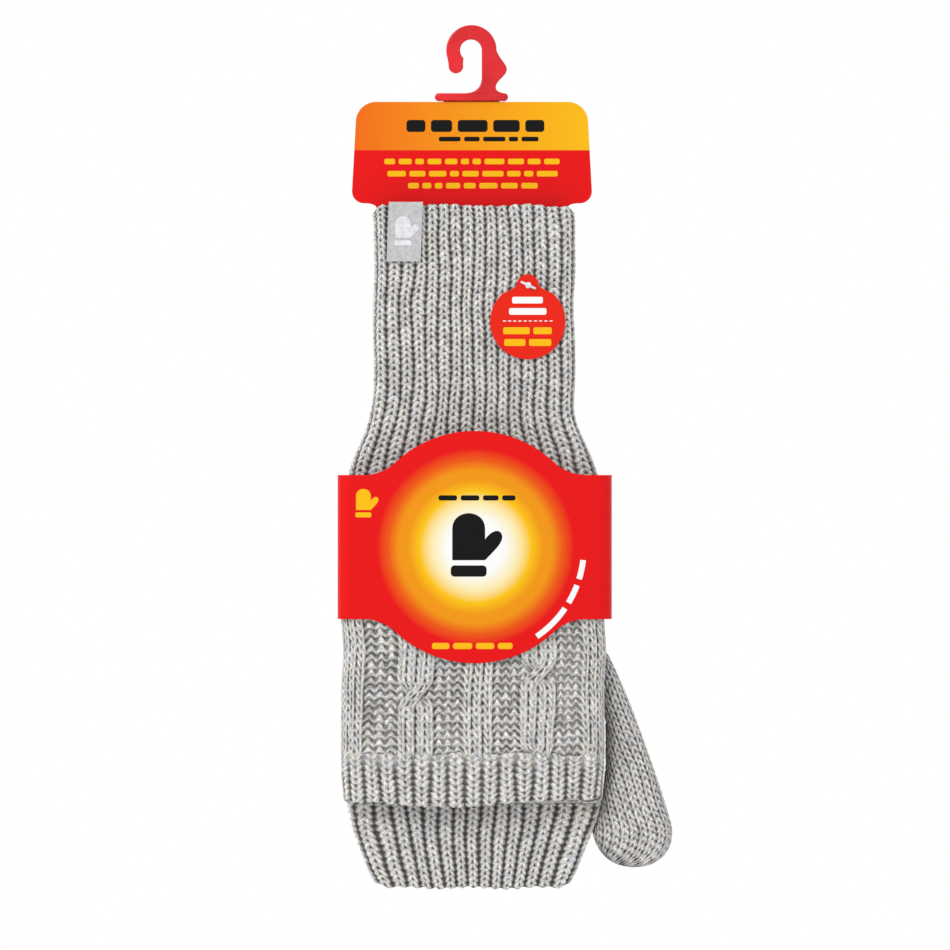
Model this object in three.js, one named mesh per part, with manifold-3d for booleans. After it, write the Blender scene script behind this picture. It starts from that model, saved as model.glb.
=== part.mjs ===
// A pair of convertible flip-top mittens, packed flat on a hanging card.
//
// Millimetres, +Z up. The pair hangs fingers down from a plastic hook, and the origin is the top of
// the hook's throat, where a display prong carries it. The right-hand mitten is in front, with the
// back of its hand towards -Y. The left-hand mitten is its mirror image behind the plane y = 0, so the
// palms face each other and both thumbs point to +X. Each flip-top is folded back over the back of
// its hand, and a card band round the middle keeps both folded.
//
// Every mitten piece is a flat pillow shape: a front-view outline (x, z) given depth along Y, with its
// sides rounded over. A knitted wall or a lining is what lies between two insets of one pillow.

import * as THREE from 'three';
import { mergeVertices } from 'three/addons/utils/BufferGeometryUtils.js';
import Module from 'manifold-3d';

const wasm = await Module();
wasm.setup();

// ---------------------------------------------------------------- driving dimensions

const GAP = 0.3; // clearance between neighbouring pieces
const KNIT = 1.4; // thickness of a knitted wall
const PLUSH = 0.8; // thickness of the plush lining, pressed flat
const HOLLOW = 4.4; // flat space left inside for the hand
const SPARE = 12; // how far an outline runs past an end that is then cut square
const FLAT_SIDE = 0.4; // straight stretch between a pillow's two rounded edges
const ROUNDING_STEPS = 2;
const CENTRE_X = 0.8; // the mittens' centre line, slightly right of the hook's

const WALL = KNIT + GAP + PLUSH;
const HAND_T = HOLLOW + 2 * WALL; // whole thickness of a hand
const RIB_T = HOLLOW + 2 * KNIT; // the finger rib has no lining
const FLAP_T = RIB_T + 2 * (GAP + KNIT); // the closed flap slips over the finger rib
const PALM_Y = -0.7; // palm of the front mitten
const BACK_Y = PALM_Y - HAND_T; // back of the front hand
const HAND_Y = PALM_Y - HAND_T / 2;
const FINGER_RIB_Y = HAND_Y - 0.2; // so that the two closed flaps keep clear of each other
const FLAP_Y = BACK_Y - GAP - FLAP_T / 2; // middle of the folded-back flap

const CUFF_TOP = -65;
const CUFF_END = -160.5; // where the ribbed cuff turns into the plain hand
const CUFF_HALF = 39.9;
const FLARE_TOP = -139;
const FLARE_END = -190;
const HAND_HALF = 51.9;
const HINGE_Z = -299.5; // the seam that joins the flap to the back of the hand
const FINGER_END = -333;
const HEM_TOP = -280;
const HEM_HALF = 50.4;
const FLAP_TIP = -178.5;
const FLAP_SHOULDER = -226; // where the flap's straight sides start to round off
const LINING_TOP = -150;
const FLAP_LINING_START = HINGE_Z + (HINGE_Z - FINGER_END) + 2; // past the reach of the finger rib

const THUMB_ROOT_X = 43; // hidden root, inside the hand's outline
const THUMB_ROOT_TOP = -239.5;
const THUMB_CROTCH = -266;
const THUMB_TIP = -324.6;

const BUTTON_Z = -167;
const BUTTON_R = 5.5;
const SHANK_R = 2.2;
const LOOP_R = 0.7; // elastic cord of the button loop

const LABEL = { left: -32.4, width: 13.3, front: 23.2, inside: 9, thick: 0.5 };

const HOOK_T = 2.4;
const THROAT_R = 4.25;
const HOOK_R = 9.9;
const BAR = { half: 14.4, top: -21.1, bottom: -24.2, depth: 3.2 };
const TAB = { half: 11, y: 1.0, thick: 0.8, bottom: -34 };

const CARD_T = 0.6;
const CARD_X = 0.2;
const CARD_TOP = -24.5;
const CARD_BOTTOM = -64.3;
const CARD_HALF_TOP = 45.6;
const CARD_HALF_BOTTOM = 47.1;
const TONGUE_HALF = 37.3;
const TONGUE_END = -130;

const BAND = { x: 1.3, half: 53.4, card: 0.5, top: -171, corner: 5 };
const BULGE = { z: -199, r: 45.1, fillet: 18 };

const TAG = { x: 22, z: -111.1, r: 14.7, thick: 0.4, lobeR: 4.3, hole: 1 };
const PIN = { x: 22.2, z: -96.9, r: 0.45, bar: 6.7, barR: 0.5, boss: 1.2, tilt: -0.44 };

// ---------------------------------------------------------------- materials

const finish = (color, roughness) => new THREE.MeshStandardMaterial({ color, roughness, metalness: 0 });
const KNIT_GREY = finish('#b9b6b2', 0.95);
const PLUSH_GREY = finish('#8f8b88', 1);
const HOOK_RED = finish('#e0252b', 0.35);
const CARD_RED = finish('#ed1c24', 0.5);
const LABEL_GREY = finish('#c9c9c9', 0.6);
const BUTTON_GREY = finish('#6f6c6a', 0.4);
const CORD_GREY = finish('#a09d99', 0.9);
const PIN_WHITE = finish('#f2f2f2', 0.5);

// ---------------------------------------------------------------- solids

/** A closed three.js geometry as a solid that can be joined and cut. */
function solid(geometry) {
  const bare = geometry.clone();
  bare.deleteAttribute('normal');
  bare.deleteAttribute('uv');
  const merged = mergeVertices(bare, 1e-4);
  return new wasm.Manifold(new wasm.Mesh({
    numProp: 3,
    vertProperties: Float32Array.from(merged.attributes.position.array),
    triVerts: Uint32Array.from(merged.index.array),
  }));
}

/** Stands a shape drawn in (x, z) up in front view, its extrusion running along Y about centreY. */
function standUp(geometry, centreY, depth) {
  geometry.rotateX(Math.PI / 2);
  geometry.translate(0, centreY + depth / 2, 0);
  return solid(geometry);
}

/** A flat pillow: an outline with depth and fully rounded sides, shrunk all over by inset. */
function pillow(shape, thickness, centreY, inset = 0) {
  const round = thickness / 2 - inset - FLAT_SIDE / 2;
  const geometry = new THREE.ExtrudeGeometry(shape, {
    depth: FLAT_SIDE,
    bevelThickness: round,
    bevelSize: round,
    bevelOffset: -round - inset,
    bevelSegments: ROUNDING_STEPS,
  });
  return standUp(geometry, centreY, FLAT_SIDE);
}

/** A plate of even thickness with square edges. */
function plate(shape, thickness, centreY, curveSegments = 6) {
  const geometry = new THREE.ExtrudeGeometry(shape, {
    depth: thickness,
    bevelEnabled: false,
    curveSegments,
  });
  return standUp(geometry, centreY, thickness);
}

/** Everything between two heights. */
function heights(low, high) {
  const box = new THREE.BoxGeometry(300, 300, high - low);
  box.translate(0, 0, (low + high) / 2);
  return solid(box);
}

/** The wall of a pillow between two insets, cut square at two heights. */
function wall(shape, thickness, centreY, outer, inner, low, high) {
  const skin = pillow(shape, thickness, centreY, outer);
  return skin.subtract(pillow(shape, thickness, centreY, inner)).intersect(heights(low, high));
}

/** A box from its lowest to its highest corner. */
function block(low, high) {
  const size = high.map((value, i) => value - low[i]);
  const box = new THREE.BoxGeometry(...size);
  box.translate(...low.map((value, i) => value + size[i] / 2));
  return solid(box);
}

/** A round bar along Y at (x, z). */
function barAlongY(x, z, radius, fromY, toY, sides = 10) {
  const bar = new THREE.CylinderGeometry(radius, radius, toY - fromY, sides);
  bar.translate(x, (fromY + toY) / 2, z);
  return solid(bar);
}

/** A closed outline from its right-hand side, which runs downwards or up to the centre line. */
function symmetricShape(side, centreX, divisions) {
  const right = side.getPoints(divisions);
  const left = right.filter((p) => p.x > 1e-6).reverse();
  return new THREE.Shape([
    ...right.map((p) => new THREE.Vector2(centreX + p.x, p.y)),
    ...left.map((p) => new THREE.Vector2(centreX - p.x, p.y)),
  ]);
}

// ---------------------------------------------------------------- outlines, in front view

/** Cuff and hand: straight cuff, a flare at the wrist, straight hand, slightly drawn in at the seam. */
function bodyShape() {
  const side = new THREE.Path();
  side.moveTo(CUFF_HALF, CUFF_TOP + SPARE);
  side.lineTo(CUFF_HALF, FLARE_TOP);
  side.bezierCurveTo(CUFF_HALF, FLARE_TOP - 20, HAND_HALF - 1.6, FLARE_END + 32, HAND_HALF, FLARE_END);
  side.lineTo(HAND_HALF, HINGE_Z + 14);
  side.lineTo(HEM_HALF, HINGE_Z);
  side.lineTo(HEM_HALF, HINGE_Z - SPARE);
  return symmetricShape(side, CENTRE_X, 6);
}

/** The ribbed finger opening, drawn in towards the fingertips. */
function fingerRibShape() {
  const top = HEM_HALF - KNIT - 2 * GAP;
  const side = new THREE.Path();
  side.moveTo(top, HINGE_Z + SPARE);
  side.lineTo(top, HINGE_Z - 2);
  side.bezierCurveTo(top - 1, HINGE_Z - 12, 41.5, HINGE_Z - 22, 37.2, FINGER_END);
  side.lineTo(34.5, FINGER_END - SPARE);
  return symmetricShape(side, CENTRE_X - 0.3, 5);
}

/** The flip-top as it lies folded back: mouth at the bottom, rounded tip at the top. */
function flapShape() {
  const side = new THREE.Path();
  side.moveTo(HEM_HALF, HINGE_Z - SPARE);
  side.lineTo(HEM_HALF, HINGE_Z);
  side.lineTo(HAND_HALF, HINGE_Z + 14);
  side.lineTo(HAND_HALF, FLAP_SHOULDER);
  side.bezierCurveTo(HAND_HALF, FLAP_SHOULDER + 28, HAND_HALF * 0.62, FLAP_TIP, 0, FLAP_TIP);
  return symmetricShape(side, CENTRE_X, 7);
}

/** The thumb: rooted in the hand's side, lying down beside the finger rib. */
function thumbShape() {
  const edge = CENTRE_X + HAND_HALF + 2 * GAP;
  const shape = new THREE.Shape();
  shape.moveTo(THUMB_ROOT_X, THUMB_ROOT_TOP - 1.5);
  shape.lineTo(edge, THUMB_ROOT_TOP);
  shape.bezierCurveTo(60, -252, 71, -282, 78.8, -308);
  shape.bezierCurveTo(80.6, -318, 74, THUMB_TIP, 64, THUMB_TIP);
  shape.bezierCurveTo(54, THUMB_TIP, 50, -318, 47.9, -311.5);
  shape.lineTo(50.6, -304);
  shape.lineTo(edge, -296);
  shape.lineTo(edge, THUMB_CROTCH);
  shape.lineTo(THUMB_ROOT_X, THUMB_CROTCH + 3);
  return new THREE.Shape(shape.getPoints(4));
}

/** The plastic hook: open throat on the left, a stem with a swelling, and a bar along the card. */
function hookShape() {
  const shape = new THREE.Shape();
  const centreZ = -THROAT_R;
  const tip = { x: -6.1, z: -10.4, r: 2.9 };
  const cap = (BAR.top - BAR.bottom) / 2;
  shape.moveTo(-BAR.half + cap, BAR.bottom);
  shape.lineTo(BAR.half - cap, BAR.bottom);
  shape.absarc(BAR.half - cap, BAR.bottom + cap, cap, -Math.PI / 2, Math.PI / 2, false);
  shape.quadraticCurveTo(9.2, -20.6, 9.6, -18.3);
  shape.bezierCurveTo(10.2, -15.5, 13.9, -14.4, 13.9, -11.6);
  shape.bezierCurveTo(13.9, -9.5, 9.8, -6.5, HOOK_R - 0.1, centreZ + 0.9);
  shape.absarc(0, centreZ, HOOK_R, 0.1, 3.65, false);
  shape.absarc(tip.x, tip.z, tip.r, 2.9, 6.1, false);
  shape.absarc(-0.2, centreZ, THROAT_R, 3.95, 0, true);
  shape.lineTo(-0.2 + THROAT_R, -14.5);
  shape.quadraticCurveTo(-0.2 + THROAT_R, BAR.top, -2.9, BAR.top);
  shape.lineTo(-BAR.half + cap, BAR.top);
  shape.absarc(-BAR.half + cap, BAR.bottom + cap, cap, Math.PI / 2, -Math.PI / 2, false);
  return shape;
}

/** The header card with the narrower tongue that hangs between the two cuffs. */
function cardShape() {
  const corner = 7.9;
  const low = 4.7;
  const end = 4;
  const side = new THREE.Path();
  side.moveTo(CARD_HALF_TOP - corner, CARD_TOP);
  side.absarc(CARD_HALF_TOP - corner, CARD_TOP - corner, corner, Math.PI / 2, 0, true);
  side.lineTo(CARD_HALF_BOTTOM, CARD_BOTTOM + low);
  side.absarc(CARD_HALF_BOTTOM - low, CARD_BOTTOM + low, low, 0, -Math.PI / 2, true);
  side.quadraticCurveTo(TONGUE_HALF, CARD_BOTTOM, TONGUE_HALF, CARD_BOTTOM - 2.5);
  side.lineTo(TONGUE_HALF, TONGUE_END + end);
  side.absarc(TONGUE_HALF - end, TONGUE_END + end, end, 0, -Math.PI / 2, true);
  return symmetricShape(side, CARD_X, 3);
}

/** The band's die-cut outline: a strip with a round swelling, joined by concave fillets. */
function bandOutline() {
  const { r, fillet } = BULGE;
  const rise = BAND.top - BULGE.z;
  const reach = Math.sqrt((r + fillet) ** 2 - (rise + fillet) ** 2);
  const turn = Math.atan2(rise + fillet, reach);
  const wide = BAND.half + SPARE;
  const upper = new THREE.Path();
  upper.moveTo(wide, rise);
  upper.lineTo(reach, rise);
  upper.absarc(reach, rise + fillet, fillet, -Math.PI / 2, -Math.PI + turn, true);
  upper.absarc(0, 0, r, turn, Math.PI - turn, false);
  upper.absarc(-reach, rise + fillet, fillet, -turn, -Math.PI / 2, true);
  upper.lineTo(-wide, rise);
  const top = upper.getPoints(7);
  const bottom = top.map((p) => new THREE.Vector2(-p.x, -p.y));
  return new THREE.Shape([...top, ...bottom].map((p) => new THREE.Vector2(BAND.x + p.x, BULGE.z + p.y)));
}

/** A rectangle with rounded corners, drawn flat about (centreX, 0). */
function roundedRectangle(centreX, half, halfDepth, corner) {
  const shape = new THREE.Shape();
  shape.absarc(centreX + half - corner, halfDepth - corner, corner, 0, Math.PI / 2, false);
  shape.absarc(centreX - half + corner, halfDepth - corner, corner, Math.PI / 2, Math.PI, false);
  shape.absarc(centreX - half + corner, -halfDepth + corner, corner, Math.PI, Math.PI * 1.5, false);
  shape.absarc(centreX + half - corner, -halfDepth + corner, corner, Math.PI * 1.5, Math.PI * 2, false);
  return shape;
}

// ---------------------------------------------------------------- pieces of one mitten (the front one)

const body = bodyShape();
const flap = flapShape();
const thumb = thumbShape();
const fingerRib = fingerRibShape();

/** The channel through cuffs and card that the tag's pin goes through. */
const pinChannel = () => barAlongY(PIN.x, PIN.z, PIN.r + GAP, -30, 30, 8);

const cuff = () => wall(body, HAND_T, HAND_Y, 0, KNIT, CUFF_END, CUFF_TOP).subtract(pinChannel());

function hand() {
  const shell = wall(body, HAND_T, HAND_Y, 0, KNIT, HINGE_Z + GAP, CUFF_END - GAP);
  return shell.subtract(pillow(thumb, HAND_T, HAND_Y, KNIT + GAP));
}

function handLining() {
  const shell = wall(body, HAND_T, HAND_Y, KNIT + GAP, WALL, HINGE_Z + 4, LINING_TOP);
  return shell.subtract(pillow(thumb, HAND_T, HAND_Y, WALL));
}

const ribbedOpening = () => wall(fingerRib, RIB_T, FINGER_RIB_Y, 0, KNIT, FINGER_END, HINGE_Z);

/** A layer of the thumb, trimmed where it meets the side of the hand. */
function thumbLayer(outer, inner) {
  const layer = pillow(thumb, HAND_T, HAND_Y, outer).subtract(pillow(thumb, HAND_T, HAND_Y, inner));
  return layer.subtract(pillow(body, HAND_T, HAND_Y, -GAP));
}

const flapHem = () => wall(flap, FLAP_T, FLAP_Y, 0, KNIT, HINGE_Z + GAP, HEM_TOP);
const flapShell = () => wall(flap, FLAP_T, FLAP_Y, 0, KNIT, HEM_TOP + GAP, FLAP_TIP + 1);
const flapLining = () => wall(flap, FLAP_T, FLAP_Y, KNIT + GAP, WALL, FLAP_LINING_START, FLAP_TIP + 1);

/** A round button on a short shank, standing off the back of the hand. */
function button() {
  const shank = 2.6;
  const profile = [
    [0, 0], [SHANK_R, 0], [SHANK_R, shank], [BUTTON_R - 0.8, shank], [BUTTON_R, shank + 0.8],
    [BUTTON_R, shank + 1.6], [BUTTON_R - 1, shank + 2.6], [BUTTON_R - 2.4, shank + 2.1], [0, shank + 1.9],
  ];
  const lathe = new THREE.LatheGeometry(profile.map(([r, y]) => new THREE.Vector2(r, y)), 16);
  lathe.rotateX(Math.PI);
  lathe.translate(CENTRE_X, BACK_Y - GAP, BUTTON_Z);
  return solid(lathe);
}

/** The elastic loop from the flap's tip round the button's shank. */
function buttonLoop() {
  const low = BACK_Y - 2 * GAP - LOOP_R - 0.3;
  const half = [
    [3.4, FLAP_Y, FLAP_TIP + GAP],
    [4.0, low - 1.9, FLAP_TIP + 3],
    [4.2, low, BUTTON_Z - 4.6],
    [3.6, low, BUTTON_Z],
  ];
  const at = (x, [, y, z]) => new THREE.Vector3(CENTRE_X + x, y, z);
  const path = new THREE.CatmullRomCurve3([
    ...half.map((p) => at(-p[0], p)),
    new THREE.Vector3(CENTRE_X, low, BUTTON_Z + SHANK_R + GAP + LOOP_R + 0.3),
    ...half.map((p) => at(p[0], p)).reverse(),
  ]);
  const section = new THREE.Shape();
  section.absarc(0, 0, LOOP_R, 0, Math.PI * 2, false);
  return solid(new THREE.ExtrudeGeometry(section, { steps: 20, curveSegments: 4, extrudePath: path }));
}

/** The woven label, folded over the cuff's edge and sewn through at its lower end. */
function wovenLabel() {
  const { left, width, front, inside, thick } = LABEL;
  const top = CUFF_TOP + GAP;
  const outerY = BACK_Y - GAP;
  const innerY = BACK_Y + KNIT + GAP;
  const frontLeg = block([left, outerY - thick, top - front], [left + width, outerY, top + thick]);
  const fold = block([left, outerY - thick, top], [left + width, innerY + thick, top + thick]);
  const backLeg = block([left, innerY, top - inside], [left + width, innerY + thick, top + thick]);
  return frontLeg.add(fold).add(backLeg);
}

// ---------------------------------------------------------------- packaging

function hangingHook() {
  const bevel = 0.4;
  const geometry = new THREE.ExtrudeGeometry(hookShape(), {
    depth: HOOK_T - 2 * bevel,
    bevelThickness: bevel,
    bevelSize: bevel,
    bevelOffset: -bevel,
    bevelSegments: 1,
    curveSegments: 5,
  });
  const bar = block([-BAR.half + 2, -BAR.depth / 2, BAR.bottom], [BAR.half - 2, BAR.depth / 2, BAR.top]);
  const tabLow = [-TAB.half, TAB.y - TAB.thick / 2, TAB.bottom];
  const tabHigh = [TAB.half, TAB.y + TAB.thick / 2, BAR.top - 1];
  return standUp(geometry, 0, HOOK_T - 2 * bevel).add(bar).add(block(tabLow, tabHigh));
}

const headerCard = () => plate(cardShape(), CARD_T, 0).subtract(pinChannel());

/** The card band: a flattened sleeve round both mittens and both folded flaps. */
function bellyBand() {
  const halfDepth = -(FLAP_Y - FLAP_T / 2) + GAP + BAND.card;
  const ring = roundedRectangle(BAND.x, BAND.half, halfDepth, BAND.corner);
  const inside = roundedRectangle(
    BAND.x, BAND.half - BAND.card, halfDepth - BAND.card, BAND.corner - BAND.card);
  ring.holes.push(inside);
  const height = 2 * BULGE.r + 4;
  const sleeve = new THREE.ExtrudeGeometry(ring, { depth: height, bevelEnabled: false, curveSegments: 3 });
  sleeve.translate(0, 0, BULGE.z - height / 2);
  return solid(sleeve).intersect(plate(bandOutline(), 2 * halfDepth + 10, 0));
}

/** The round tag, drawn out to a small lobe at the top that the pin goes through. */
function swingTag() {
  const y = BACK_Y - GAP - TAG.thick / 2;
  const neck = 0.62; // half-angle, from the tag's centre, where the disc turns into the neck
  const right = new THREE.Path();
  right.absarc(0, 0, TAG.r, -Math.PI / 2, Math.PI / 2 - neck, false);
  const lobeZ = PIN.z - TAG.z;
  right.quadraticCurveTo(TAG.lobeR + 0.4, TAG.r - 1.6, TAG.lobeR, lobeZ);
  right.absarc(0, lobeZ, TAG.lobeR, 0, Math.PI / 2, false);
  const shape = symmetricShape(right, TAG.x, 5);
  const disc = new THREE.Shape(shape.getPoints().map((p) => new THREE.Vector2(p.x, p.y + TAG.z)));
  return plate(disc, TAG.thick, y).subtract(barAlongY(PIN.x, PIN.z, TAG.hole, -30, 0, 12));
}

/** The plastic pin: a thin stem through everything, with a cross bar at each end. */
function tagPin() {
  const front = BACK_Y - 2 * GAP - TAG.thick;
  const rear = -BACK_Y + GAP;
  const crossBar = (y) => {
    const bar = new THREE.CylinderGeometry(PIN.barR, PIN.barR, PIN.bar, 8);
    bar.rotateZ(Math.PI / 2);
    bar.rotateY(-PIN.tilt);
    bar.translate(PIN.x, y, PIN.z);
    return solid(bar);
  };
  return barAlongY(PIN.x, PIN.z, PIN.r, front - PIN.barR, rear + PIN.barR, 8)
    .add(barAlongY(PIN.x, PIN.z, PIN.boss, front - 0.6, front, 12))
    .add(crossBar(front - PIN.barR))
    .add(crossBar(rear + PIN.barR));
}

// ---------------------------------------------------------------- assembly

/** A named mesh of a solid, mirrored through y = 0 for the left-hand mitten. */
function mesh(name, shape, material, mirrored = false) {
  const { vertProperties, triVerts } = shape.getMesh();
  const geometry = new THREE.BufferGeometry();
  geometry.setAttribute('position', new THREE.BufferAttribute(vertProperties, 3));
  geometry.setIndex([...triVerts]);
  if (mirrored) {
    geometry.scale(1, -1, 1);
    geometry.index.array.reverse();
  }
  geometry.computeVertexNormals();
  const piece = new THREE.Mesh(geometry, material.clone());
  piece.name = name;
  return piece;
}

function mitten(side, mirrored) {
  const group = new THREE.Group();
  const pieces = [
    ['cuff', cuff(), KNIT_GREY],
    ['hand_shell', hand(), KNIT_GREY],
    ['finger_rib', ribbedOpening(), KNIT_GREY],
    ['hand_lining', handLining(), PLUSH_GREY],
    ['thumb_shell', thumbLayer(0, KNIT), KNIT_GREY],
    ['thumb_lining', thumbLayer(KNIT + GAP, WALL), PLUSH_GREY],
    ['flap_shell', flapShell(), KNIT_GREY],
    ['flap_hem', flapHem(), KNIT_GREY],
    ['flap_lining', flapLining(), PLUSH_GREY],
    ['flap_button', button(), BUTTON_GREY],
    ['flap_loop', buttonLoop(), CORD_GREY],
    ['woven_label', wovenLabel(), LABEL_GREY],
  ];
  for (const [name, shape, material] of pieces) {
    group.add(mesh(`${side}_${name}`, shape, material, mirrored));
  }
  return group;
}

function packaging() {
  const group = new THREE.Group();
  group.add(mesh('hanging_hook', hangingHook(), HOOK_RED));
  group.add(mesh('header_card', headerCard(), CARD_RED));
  group.add(mesh('belly_band', bellyBand(), CARD_RED));
  group.add(mesh('swing_tag', swingTag(), CARD_RED));
  group.add(mesh('tag_pin', tagPin(), PIN_WHITE));
  return group;
}

const pair = new THREE.Group();
pair.add(mitten('right', false), mitten('left', true), packaging());

export default pair;
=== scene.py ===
"""The looks of a pair of convertible flip-top mittens, packed flat on a hanging card.

Every knitted wall is a pillow-shaped tube whose outer face is raised, stitch by stitch, to the upper
envelope of its yarns. Lengths are millimetres until a mesh is written, and the left-hand mitten is the
right-hand one mirrored in the plane y = 0.
"""
import math

import bpy
import numpy as np
from mathutils import Matrix, Vector


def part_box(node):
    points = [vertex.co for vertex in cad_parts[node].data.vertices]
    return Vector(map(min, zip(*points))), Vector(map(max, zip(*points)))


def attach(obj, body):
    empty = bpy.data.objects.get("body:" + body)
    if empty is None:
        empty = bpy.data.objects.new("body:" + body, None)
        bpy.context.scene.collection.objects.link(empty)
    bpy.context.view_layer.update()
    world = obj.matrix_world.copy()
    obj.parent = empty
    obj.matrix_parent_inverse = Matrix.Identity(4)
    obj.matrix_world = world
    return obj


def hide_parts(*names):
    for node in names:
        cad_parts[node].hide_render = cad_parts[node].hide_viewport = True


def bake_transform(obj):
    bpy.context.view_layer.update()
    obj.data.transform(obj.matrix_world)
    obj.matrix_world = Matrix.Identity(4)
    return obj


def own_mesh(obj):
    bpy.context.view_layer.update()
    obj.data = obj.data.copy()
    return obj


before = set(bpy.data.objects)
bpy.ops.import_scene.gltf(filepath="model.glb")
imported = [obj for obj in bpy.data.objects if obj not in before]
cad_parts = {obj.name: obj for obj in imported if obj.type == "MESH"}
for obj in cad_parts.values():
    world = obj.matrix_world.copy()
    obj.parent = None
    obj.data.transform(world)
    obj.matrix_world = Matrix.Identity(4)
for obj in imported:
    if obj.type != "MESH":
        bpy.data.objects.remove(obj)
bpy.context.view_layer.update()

MM = 0.001
PI = math.pi
SIDES = ("right", "left")


def corners(node):
    """Lowest and highest corner of a CAD node, in millimetres."""
    low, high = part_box(node)
    return np.array(low) / MM, np.array(high) / MM


# ------------------------------------------------------------------ sizes, from the frame where it has them

CUFF_HIGH = corners("right_cuff")[1]
HAND_LOW, HAND_HIGH = corners("right_hand_shell")
RIB_LOW, RIB_HIGH = corners("right_finger_rib")
HEM_LOW, HEM_HIGH = corners("right_flap_hem")
FLAP_LOW, FLAP_HIGH = corners("right_flap_shell")
THUMB_LOW = corners("right_thumb_shell")[0]
LABEL_LOW, LABEL_HIGH = corners("right_woven_label")
BUTTON_LOW, BUTTON_HIGH = corners("right_flap_button")
CARD_LOW, CARD_HIGH = corners("header_card")
BAND_LOW, BAND_HIGH = corners("belly_band")
TAG_LOW, TAG_HIGH = corners("swing_tag")
PIN_LOW, PIN_HIGH = corners("tag_pin")

CENTRE_X, HAND_Y = (HAND_LOW[:2] + HAND_HIGH[:2]) / 2  # CENTRE_X is the middle of each mitten
HAND_HALF, HAND_DEPTH = (HAND_HIGH[:2] - HAND_LOW[:2]) / 2
RIB_TOP_HALF, RIB_DEPTH = (RIB_HIGH[:2] - RIB_LOW[:2]) / 2
RIB_Y = (RIB_HIGH[1] + RIB_LOW[1]) / 2
FLAP_DEPTH = (FLAP_HIGH[1] - FLAP_LOW[1]) / 2
FLAP_Y = (FLAP_HIGH[1] + FLAP_LOW[1]) / 2

CUFF_HALF = 39.9
FLARE_TOP = -139
FLARE_END = -190
RIBS_END = -173  # the cuff's ribs run on to here, under the band
HINGE_Z = RIB_HIGH[2]
HEM_HALF = 50.4
FLAP_TIP = -178.5
FLAP_SHOULDER = -226  # where the flip-top's straight sides start to round off
LINING_TOP = -150
FLAP_LINING_START = -264
THUMB_ROOT = -239.5
THUMB_EDGE = CENTRE_X + HAND_HALF + 0.1
THUMB_HALF = 15

WALL = 2.1  # knitted wall, from its crests to its inner face
RIM = WALL / 2
PLUSH = 0.7

CUFF_ROW = 2.5  # height of a row of stitches, on every rib
FLAP_ROW = 3.05
THUMB_ROW = 2.8
CUFF_WALE = 4.7  # width of a rib
FINGER_WALE = 4.9
HEM_WALE = 6.3
PALM_WALE = 3.3
THUMB_WALE = 3.2
CUFF_RIBS = (9.25, 8.5)  # ribs from the middle to a side: if spaced as at the middle, and in all
FINGER_RIBS = (9.4, 8)
HEM_RIBS = (8.1, 8.5)

# ------------------------------------------------------------------ numbers that vary smoothly


def smooth(x):
    """0 to 1, easing in and out."""
    x = np.clip(x, 0, 1)
    return x * x * (3 - 2 * x)


def noise(x, y, seed):
    """Smooth random values from -1 to 1 over a plane, about one swing per unit."""
    grid = np.random.default_rng(seed).uniform(-1, 1, (64, 64))
    left, low = np.floor(x).astype(int), np.floor(y).astype(int)
    across, up = smooth(x - left), smooth(y - low)
    right, high = (left + 1) % 64, (low + 1) % 64
    left, low = left % 64, low % 64
    bottom = grid[left, low] * (1 - across) + grid[right, low] * across
    top = grid[left, high] * (1 - across) + grid[right, high] * across
    return bottom * (1 - up) + top * up


def chance(i, j, seed):
    """A fixed random number from 0 to 1 for each pair of whole numbers."""
    table = np.random.default_rng(seed).random((97, 89))
    return table[np.asarray(i).astype(int) % 97, np.asarray(j).astype(int) % 89]


def bezier(a, b, c, d, steps=30):
    t = np.linspace(0, 1, steps)[:, None]
    a, b, c, d = map(np.array, (a, b, c, d))
    return a * (1 - t) ** 3 + 3 * b * t * (1 - t) ** 2 + 3 * c * t ** 2 * (1 - t) + d * t ** 3


def outline(*stretches):
    """A function of height from points (x, z) that run downwards."""
    points = np.vstack(stretches)[::-1]
    return lambda z: np.interp(z, points[:, 1], points[:, 0])


# ------------------------------------------------------------------ outlines, as half-widths at a height


def middle_line(z):
    """Each mitten's own middle, which isn't quite straight."""
    return CENTRE_X + 0.5 * noise(z / 15 + 3, 0 * z, 77)


body_half = outline(
    [[CUFF_HALF, CUFF_HIGH[2] + 5]],
    bezier((CUFF_HALF, FLARE_TOP), (CUFF_HALF, FLARE_TOP - 20), (HAND_HALF - 1.6, FLARE_END + 32),
           (HAND_HALF, FLARE_END)),
    [[HAND_HALF, HINGE_Z + 14], [HEM_HALF, HINGE_Z], [HEM_HALF, HINGE_Z - 9]])

flap_half = outline(
    bezier((0, FLAP_TIP), (HAND_HALF * 0.62, FLAP_TIP), (HAND_HALF, FLAP_SHOULDER + 28),
           (HAND_HALF, FLAP_SHOULDER), 80),
    [[HAND_HALF, HINGE_Z + 14], [HEM_HALF, HINGE_Z - 9]])

finger_half = outline(
    [[RIB_TOP_HALF - 1, HINGE_Z + 9], [RIB_TOP_HALF + 1.7, HINGE_Z - 1]],
    bezier((RIB_TOP_HALF + 1.7, HINGE_Z - 1), (RIB_TOP_HALF - 0.2, HINGE_Z - 12), (42.3, HINGE_Z - 22),
           (38.6, RIB_LOW[2])),
    [[36, RIB_LOW[2] - 12]])

thumb_right = outline(
    bezier((THUMB_EDGE, THUMB_ROOT), (60, -252), (71, -282), (78.8, -308)),
    bezier((78.8, -308), (80.6, -318), (74, THUMB_LOW[2]), (64, THUMB_LOW[2]), 60))
THUMB_SEAM_X = 49.9
THUMB_PARTS = -311.5
PARTING_X = CENTRE_X + finger_half(THUMB_PARTS) - 0.5
thumb_free = outline(
    bezier((PARTING_X, THUMB_PARTS), (48.6, -318), (53, THUMB_LOW[2]), (64, THUMB_LOW[2]), 60))


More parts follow.
